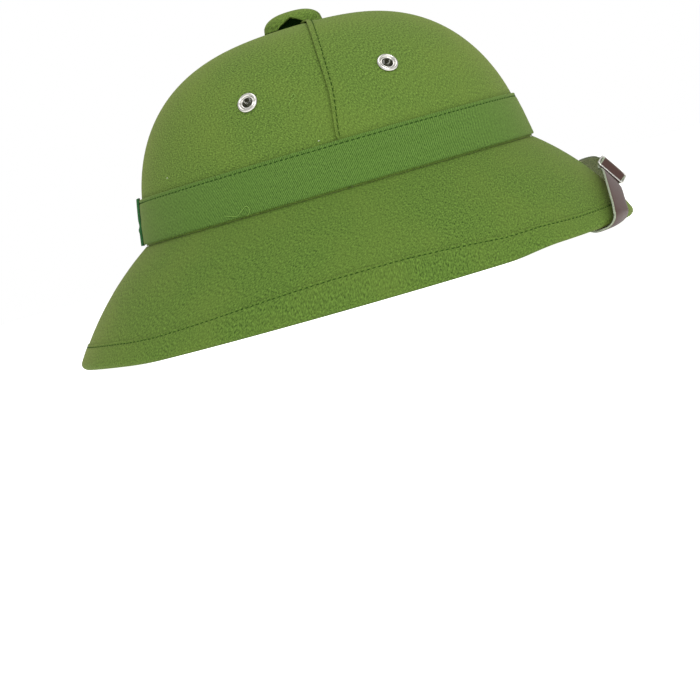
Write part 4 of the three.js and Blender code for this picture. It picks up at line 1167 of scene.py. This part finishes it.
def strap_line(along):
    """The strap's middle line over the brim: how far down it lies, its slope and its height. It climbs to its
    peak by 1 - share^power and falls again. It arches off the brim, its far half higher by a squared sine,
    and leans with the buckle by x exp(-x^2)."""
    run = strap_run(along)
    share = np.minimum(1, np.abs(along - STRAP_PEAK) / run)
    down = -STRAP_CLIMB * (1 - share**STRAP_CLIMB_POWER)
    steepest = STRAP_CLIMB * STRAP_CLIMB_POWER
    fall = np.sign(along - STRAP_PEAK) * steepest * share ** (STRAP_CLIMB_POWER - 1) / run
    height = STRAP_SEAT + STRAP_SLACK + (STRAP_ARCH - STRAP_SLACK) * (1 - share**2)
    height = height + STRAP_FAR_ARCH * np.sin(np.pi * far_share(along)) ** 2
    beside = along - BUCKLE_PLACE
    return down, fall, height - BUCKLE_TILT * beside * bell(beside, 0, BUCKLE_TILT_REACH)


WEAVE = 2 * (BUCKLE_WIRE + GAP + STRAP_THICKNESS / 2)


def weave_height(along):
    """The strap's rise over the buckle's middle bar, between its end wires."""
    reach = BUCKLE_LENGTH / 2 - BUCKLE_WIRE - GAP
    share = np.minimum(1, np.abs(along - BUCKLE_PLACE) / reach)
    return WEAVE * np.cos(share * np.pi / 2) ** 2


# Section of the strap: share of its half width, and lift as a share of its half thickness. The coated face
# comes first, then one edge, the woven back and the other edge.
FACE_ACROSS = np.linspace(-0.93, 0.93, 15)
BACK_ACROSS = np.linspace(0.95, -0.95, 9)
EDGE_SECTION = [(0.95, 0.7), (0.99, 0.6), (1.05, 0.2), (1.07, -0.4), (1.02, -0.9)]
STRAP_SECTION = np.array(
    [(x, 1.0 - 0.25 * x**8) for x in FACE_ACROSS]
    + EDGE_SECTION
    + [(x, -1.0) for x in BACK_ACROSS]
    + [(-x, lift) for x, lift in reversed(EDGE_SECTION)]
)
FRAYED_FROM = 1.02  # share of its half width
FRAY = 0.22


def strap_stations(along, down, fall, height, tilt):
    """Loops of the strap at places along the rim, square to its course. Tilt lifts its upper edge and lowers
    the other, and the slack closes up by a smooth step where the strap goes round the rim."""
    length = np.hypot(1, fall)
    across = STRAP_SECTION[None, :, 0] * STRAP_WIDTH / 2
    lift = STRAP_SECTION[None, :, 1] * STRAP_THICKNESS / 2
    reach = down[:, None] + across / length[:, None]
    closing = STRAP_SLACK * smoothstep(reach, 0, STRAP_SLACK_END)
    return strap_point(
        along[:, None] - across * (fall / length)[:, None],
        reach,
        height[:, None] + lift - across * tilt[:, None] - closing,
    )


def hidden_strap(side):
    """Half of the strap under the brim: round the rim, then in a smooth curve to its anchor in the crown."""
    start = STRAP_PEAK - side * (STRAP_FAR_RUN if side > 0 else STRAP_RUN)
    crossing = np.arctan(abs(float(strap_line(np.array(start))[1])))
    angle = -np.sign(start) * np.interp(abs(start), RIM_LENGTHS, RIM_ANGLES)
    brim = Brim(np.array([angle]))
    wrap_length = float((brim.tangent[0] + STRAP_TUCK_ANGLE) * (SKIN_RADIUS + STRAP_SEAT))
    departure = wrap_length + STRAP_WIDTH / 2
    steps = 60
    share = np.linspace(0, 1, steps + 1)[1:]
    heading = crossing + (STRAP_TUCK_HEADING - crossing) * share
    along = start - side * np.cumsum(departure / steps / np.tan(heading))
    height = np.full(steps, STRAP_SEAT + STRAP_SLACK)
    tilt = STRAP_TILT * (1 - smoothstep(share, 0, STRAP_TILT_END))
    tuck = strap_stations(along, departure * share, -side * np.tan(heading), height, tilt)

    centre = strap_point(along, departure * share, STRAP_SEAT)
    origin = centre[-1]
    leave = unit(centre[-1] - centre[-2])
    across_start = unit(tuck[-1, len(FACE_ACROSS) - 1] - tuck[-1, 0])
    anchor = crown_place(ANCHOR_X - SEAM_X, ANCHOR_HEIGHT, side)
    normal = anchor[:, 2]
    seat = anchor[:, 3] - normal * (WALL_DEPTH + ANCHOR_GAP + STRAP_THICKNESS / 2)
    straight = unit(seat - origin)
    target = seat + straight * ANCHOR_END
    across_end = np.cross(normal, straight) if side > 0 else np.cross(straight, normal)
    reach = np.linalg.norm(target - origin) / 3
    controls = [origin, origin + leave * reach, target - straight * reach, target]
    t = np.linspace(0, 1, 91)[1:, None]
    weights = [(1 - t) ** 3, 3 * t * (1 - t) ** 2, 3 * t**2 * (1 - t), t**3]
    line = sum(w * c for w, c in zip(weights, controls))
    slopes = [3 * (1 - t) ** 2, 6 * t * (1 - t), 3 * t**2]
    tangent = unit(sum(s * (b - a) for s, a, b in zip(slopes, controls[:-1], controls[1:])))
    twist = smoothstep(t, 0, TWIST_SHARE)
    across = across_start * (1 - twist) + across_end * twist
    across = unit(across - (across * tangent).sum(1, keepdims=True) * tangent)
    outward = np.cross(tangent, across) if side < 0 else np.cross(across, tangent)
    width = STRAP_SECTION[None, :, :1] * STRAP_WIDTH / 2
    lift = STRAP_SECTION[None, :, 1:] * STRAP_THICKNESS / 2
    free = line[:, None] + width * across[:, None] + lift * outward[:, None]
    return np.concatenate([tuck, free])


def add_strap():
    """The chin strap: coated face, pale woven back and fluffed cut edges, over the brim, through the buckle,
    round the rim and up to its anchors."""
    along = np.linspace(STRAP_PEAK + STRAP_RUN, STRAP_PEAK - STRAP_FAR_RUN, 420)
    down, fall, height = strap_line(along)
    tilt = STRAP_TILT * smoothstep(np.abs(along - STRAP_PEAK) / strap_run(along), *STRAP_TILT_GROWS)
    tilt = tilt + STRAP_FAR_TILT * np.sin(np.pi * far_share(along))
    over = strap_stations(along, down, fall, height + weave_height(along), tilt)
    right = hidden_strap(SIDES["right"])
    left = hidden_strap(SIDES["left"])
    loops = np.concatenate([right[::-1], over, left])
    edge = np.abs(STRAP_SECTION[:, 0]) > FRAYED_FROM
    centre = loops.mean(1, keepdims=True)
    fray = np.random.default_rng(7).uniform(-0.5, 1.0, (len(loops), edge.sum(), 1))
    loops[:, edge] += FRAY * fray * unit(loops[:, edge] - centre)
    stations, across = loops.shape[:2]
    point = np.arange(across)
    face = (point <= len(FACE_ACROSS)) | (point == across - 1)
    back_start = len(FACE_ACROSS) + len(EDGE_SECTION)
    back = (point >= back_start) & (point < back_start + len(BACK_ACROSS))
    finish = np.where(face, 0, np.where(back, 2, 1))
    finishes = np.concatenate([np.tile(finish, stations - 1), np.ones(2 * (across // 2 - 1), int)])
    mesh = loft("strap", loops, finishes=finishes)
    return add_piece("strap", mesh, [LEATHERETTE, STRAP_EDGE, STRAP_BACK_PAINTED_LIGHT], "leatherette", "chin_strap")


def add_buckle():
    """The wire slide buckle: a rounded frame over the strap, and a middle bar under it."""
    down, fall, height = (float(v) for v in strap_line(np.array(float(BUCKLE_PLACE))))
    level = height + WEAVE / 2 - BUCKLE_SINK
    lean = BUCKLE_TILT * bell(BUCKLE_LENGTH / 2, 0, BUCKLE_TILT_REACH)
    length = np.hypot(1, fall)

    def at(along, across):
        return strap_point(
            np.array(BUCKLE_PLACE + (along - across * fall) / length),
            np.array(down + (along * fall + across) / length),
            np.array(level - lean * along),
        )

    centre = at(0.0, 0.0)
    along_axis = unit(at(1.0, 0.0) - at(-1.0, 0.0))
    across_axis = at(0.0, 1.0) - at(0.0, -1.0)
    across_axis = unit(across_axis - (across_axis @ along_axis) * along_axis)
    face_axis = np.cross(along_axis, across_axis)
    axes = np.stack([along_axis, across_axis, face_axis])

    corner = np.array([(1, 1), (-1, 1), (-1, -1), (1, -1)])
    turn = (np.arange(4)[:, None] * np.pi / 2 + np.linspace(0, np.pi / 2, 8)).ravel()
    inset = np.array([BUCKLE_LENGTH / 2 - BUCKLE_CORNER, BUCKLE_WIDTH / 2 - BUCKLE_CORNER])
    middle = np.repeat(corner * inset, 8, axis=0)
    out = np.stack([np.cos(turn), np.sin(turn)], -1)
    roll = np.linspace(0, 2 * np.pi, 14, endpoint=False)
    reach = BUCKLE_CORNER + BUCKLE_WIRE * np.cos(roll)
    flat = middle[:, None] + out[:, None] * reach[None, :, None]
    rise = np.broadcast_to(BUCKLE_WIRE * np.sin(roll), flat.shape[:2])
    ring = np.concatenate([flat, rise[..., None]], -1) @ axes + centre
    mesh = loft("buckle_wire", ring, closed=True)
    add_piece("buckle_wire", mesh, [NICKEL], "nickel_plate", "buckle_frame")
    y = np.linspace(-BUCKLE_WIDTH / 2, BUCKLE_WIDTH / 2, 12)[:, None]
    bar = np.stack(np.broadcast_arrays(BUCKLE_WIRE * np.cos(roll), y, BUCKLE_WIRE * np.sin(roll)), -1)
    add_piece("buckle_bar", loft("buckle_bar", bar @ axes + centre), [NICKEL], "nickel_plate")


# Section of a rivet's domed head: radius, and rise above its seat.
RIVET_HEAD = np.array([(0.001, -1.9), (1.2, -1.85), (2.4, -1.6), (3.2, -1.1), (3.4, -0.6), (3.3, -0.2)])
RIVET_SHANK = 1.6
RIVET_HOLD = 1.6  # how deep it goes into the wall


def add_rivets():
    """The rivets that hold the strap's ends inside the crown: a low domed head on a shank."""
    for side, sign in SIDES.items():
        matrix = crown_place(ANCHOR_X - SEAM_X, ANCHOR_HEIGHT, sign)
        seat = -(WALL_DEPTH + ANCHOR_GAP + STRAP_THICKNESS)
        tip = -(WALL_DEPTH - RIVET_HOLD)
        head = rounded(RIVET_HEAD + (0, seat), 4)
        shank = np.array([(RIVET_SHANK, seat - 0.1), (RIVET_SHANK, tip), (0.001, tip)])
        section = lathe(np.vstack([head, shank]), 32, matrix)
        mesh = loft(f"strap_rivet_{side}", section, closed=True)
        add_piece(f"strap_rivet_{side}", mesh, [NICKEL], "nickel_plate", f"strap_anchor_{side}")


# Stitches and loose threads


def stitch_row(name, line, normal, pitch, length, width, lean=0.0):
    """A row of sewn stitches as one mesh: short rounded lengths of thread laid along a line on the cloth.
    Each is a flattened tube whose ends dive into the cloth."""
    steps = np.concatenate([[0], np.cumsum(np.linalg.norm(np.diff(line, axis=0), axis=1))])
    count = int(steps[-1] // pitch)
    centre_at = (np.arange(count) + 0.5) * steps[-1] / count

    def sample(values, at):
        return np.stack([np.interp(at, steps, values[:, k]) for k in range(3)], -1)

    rings = np.array([-0.5, -0.42, -0.2, 0.2, 0.42, 0.5])
    dive = np.array([-0.5, -0.05, 0.25, 0.25, -0.05, -0.5])
    girth = np.array([0.5, 0.85, 1.0, 1.0, 0.85, 0.5])
    sides = 6
    turn = np.linspace(0, 2 * np.pi, sides, endpoint=False)
    at = centre_at[:, None] + rings[None, :] * length
    middle = sample(line, at.ravel()).reshape(count, len(rings), 3)
    up = unit(sample(normal, centre_at))[:, None]
    along = unit(middle[:, -1] - middle[:, 0])[:, None]
    side = np.cross(up, along)
    middle = middle + up * (dive * width)[None, :, None] + side * (rings * lean)[None, :, None]
    ring = (
        np.cos(turn)[None, None, :, None] * side[:, :, None] * 0.5
        + np.sin(turn)[None, None, :, None] * up[:, :, None] * 0.42
    )
    points = middle[:, :, None] + ring * (girth * width)[None, :, None, None]
    faces = grid_faces(len(rings), sides, False)
    size = len(rings) * sides
    every = (faces[None] + size * np.arange(count)[:, None, None]).reshape(-1, 4)
    mesh = mesh_from(name, points.reshape(-1, 3), every, sharp=80)
    return add_piece(name, mesh, [THREAD], "green_cloth")


def add_stitches():
    """Stitches below the band's edge, along the hem and beside the crown's seams."""
    ring = np.linspace(-np.pi, np.pi, 1200)[:, None]
    share = 1 - BAND_STITCH_DEPTH / BAND_HEIGHT
    turn = turn_at_height(ring, share * BAND_HEIGHT)
    offset = GAP + BAND_THICKNESS - BAND_PINCH
    line = place(ring, *dome(ring, turn, offset))[:, 0]
    normal = place(ring, *dome(ring, turn, offset + 1))[:, 0] - line
    stitch_row("band_stitches", line, normal, pitch=3.1, length=2.3, width=0.55, lean=0.25)

    brim = Brim(ring)
    share = 1 - (hem_width(ring) - HEM_STITCH_DEPTH) / brim.slope
    offset = float(hem_profile(np.array(HEM_STITCH_DEPTH)))
    line = place(ring, *brim.bow(share, offset))[:, 0]
    normal = place(ring, *brim.bow(share, offset + 1))[:, 0] - line
    stitch_row("hem_stitches", line, normal, pitch=3.1, length=2.2, width=0.5, lean=0.2)

    for side, sign in SIDES.items():
        seam = np.pi / 2
        turn = np.linspace(turn_at_reach(seam, 13.0), turn_at_height(seam, BAND_HEIGHT + 1.5), 300)
        r, z = dome_point(seam, turn)
        width, left = lap_fade(z - CROWN_FOOT_HEIGHT)
        angle = seam - np.arcsin((SEAM_STITCH_SHIFT * width + seam_bow(r, z)) / r)
        line = place(sign * angle, *dome(angle, turn, 0.3 * left))
        normal = place(sign * angle, *dome(angle, turn, 1.3)) - line
        stitch_row(f"seam_stitches_{side}", line, normal, pitch=3.6, length=2.6, width=0.5)


# Loose threads: degrees round the crown, height above its foot and lift off the dome, in mm.
BAND_THREAD = np.array(
    [
        (-130.0, 3.8, 1.9),
        (-126.3, 1.9, 2.0),
        (-124.8, 3.1, 2.1),
        (-122.8, 5.7, 2.2),
        (-121.9, 4.6, 2.2),
        (-121.7, 2.6, 2.3),
        (-122.6, 0.4, 2.6),
    ]
)
CROWN_THREAD = np.array(
    [
        (-103.2, 52.2, 0.3),
        (-102.2, 53.9, 0.5),
        (-100.5, 55.6, 0.6),
        (-101.0, 57.2, 0.6),
        (-102.0, 55.8, 0.4),
    ]
)
LINT = np.array([(-151.8, 33.1, 0.2), (-96.4, 28.8, 0.2)])


def add_loose_threads():
    """Two curled ends of thread and two specks of lint that lie on the cloth."""
    for name, points, radius in (("band", BAND_THREAD, 0.17), ("crown", CROWN_THREAD, 0.15)):
        degrees, height, lift = rounded(points, 10).T
        angle = np.radians(degrees)
        line = place(angle, *dome(angle, turn_at_height(angle, height), lift))
        mesh = loft(f"loose_thread_{name}", tube(line, radius))
        add_piece(f"loose_thread_{name}", mesh, [LOOSE_THREAD], "green_cloth")
    for number, (degrees, height, lift) in enumerate(LINT):
        angle = np.radians(degrees + np.array([0, 0.25, 0.5]))
        line = place(angle, *dome(angle, turn_at_height(angle, height + np.array([0, 0.3, 0.1])), lift))
        add_piece(f"lint_{number}", loft(f"lint_{number}", tube(line, 0.16)), [LINT_FLUFF], "green_cloth")


def add_pieces():
    """Every piece of the helmet."""
    holes = {name: eyelet_hole(matrix) for name, matrix in EYELETS.items()}
    shell = add_shell()
    bore(shell, [mesh.copy() for mesh in holes.values()])
    add_crown_rear([mesh for name, mesh in holes.items() if name.startswith("rear")])
    add_crown_front([mesh for name, mesh in holes.items() if name.startswith("front")])
    add_brim_cover()
    add_hem()
    add_band()
    add_band_tab()
    add_vent_cap()
    add_vent_web()
    add_eyelets()
    add_strap()
    add_buckle()
    add_rivets()
    add_stitches()
    add_loose_threads()


add_camera()
add_studio()
add_pieces()
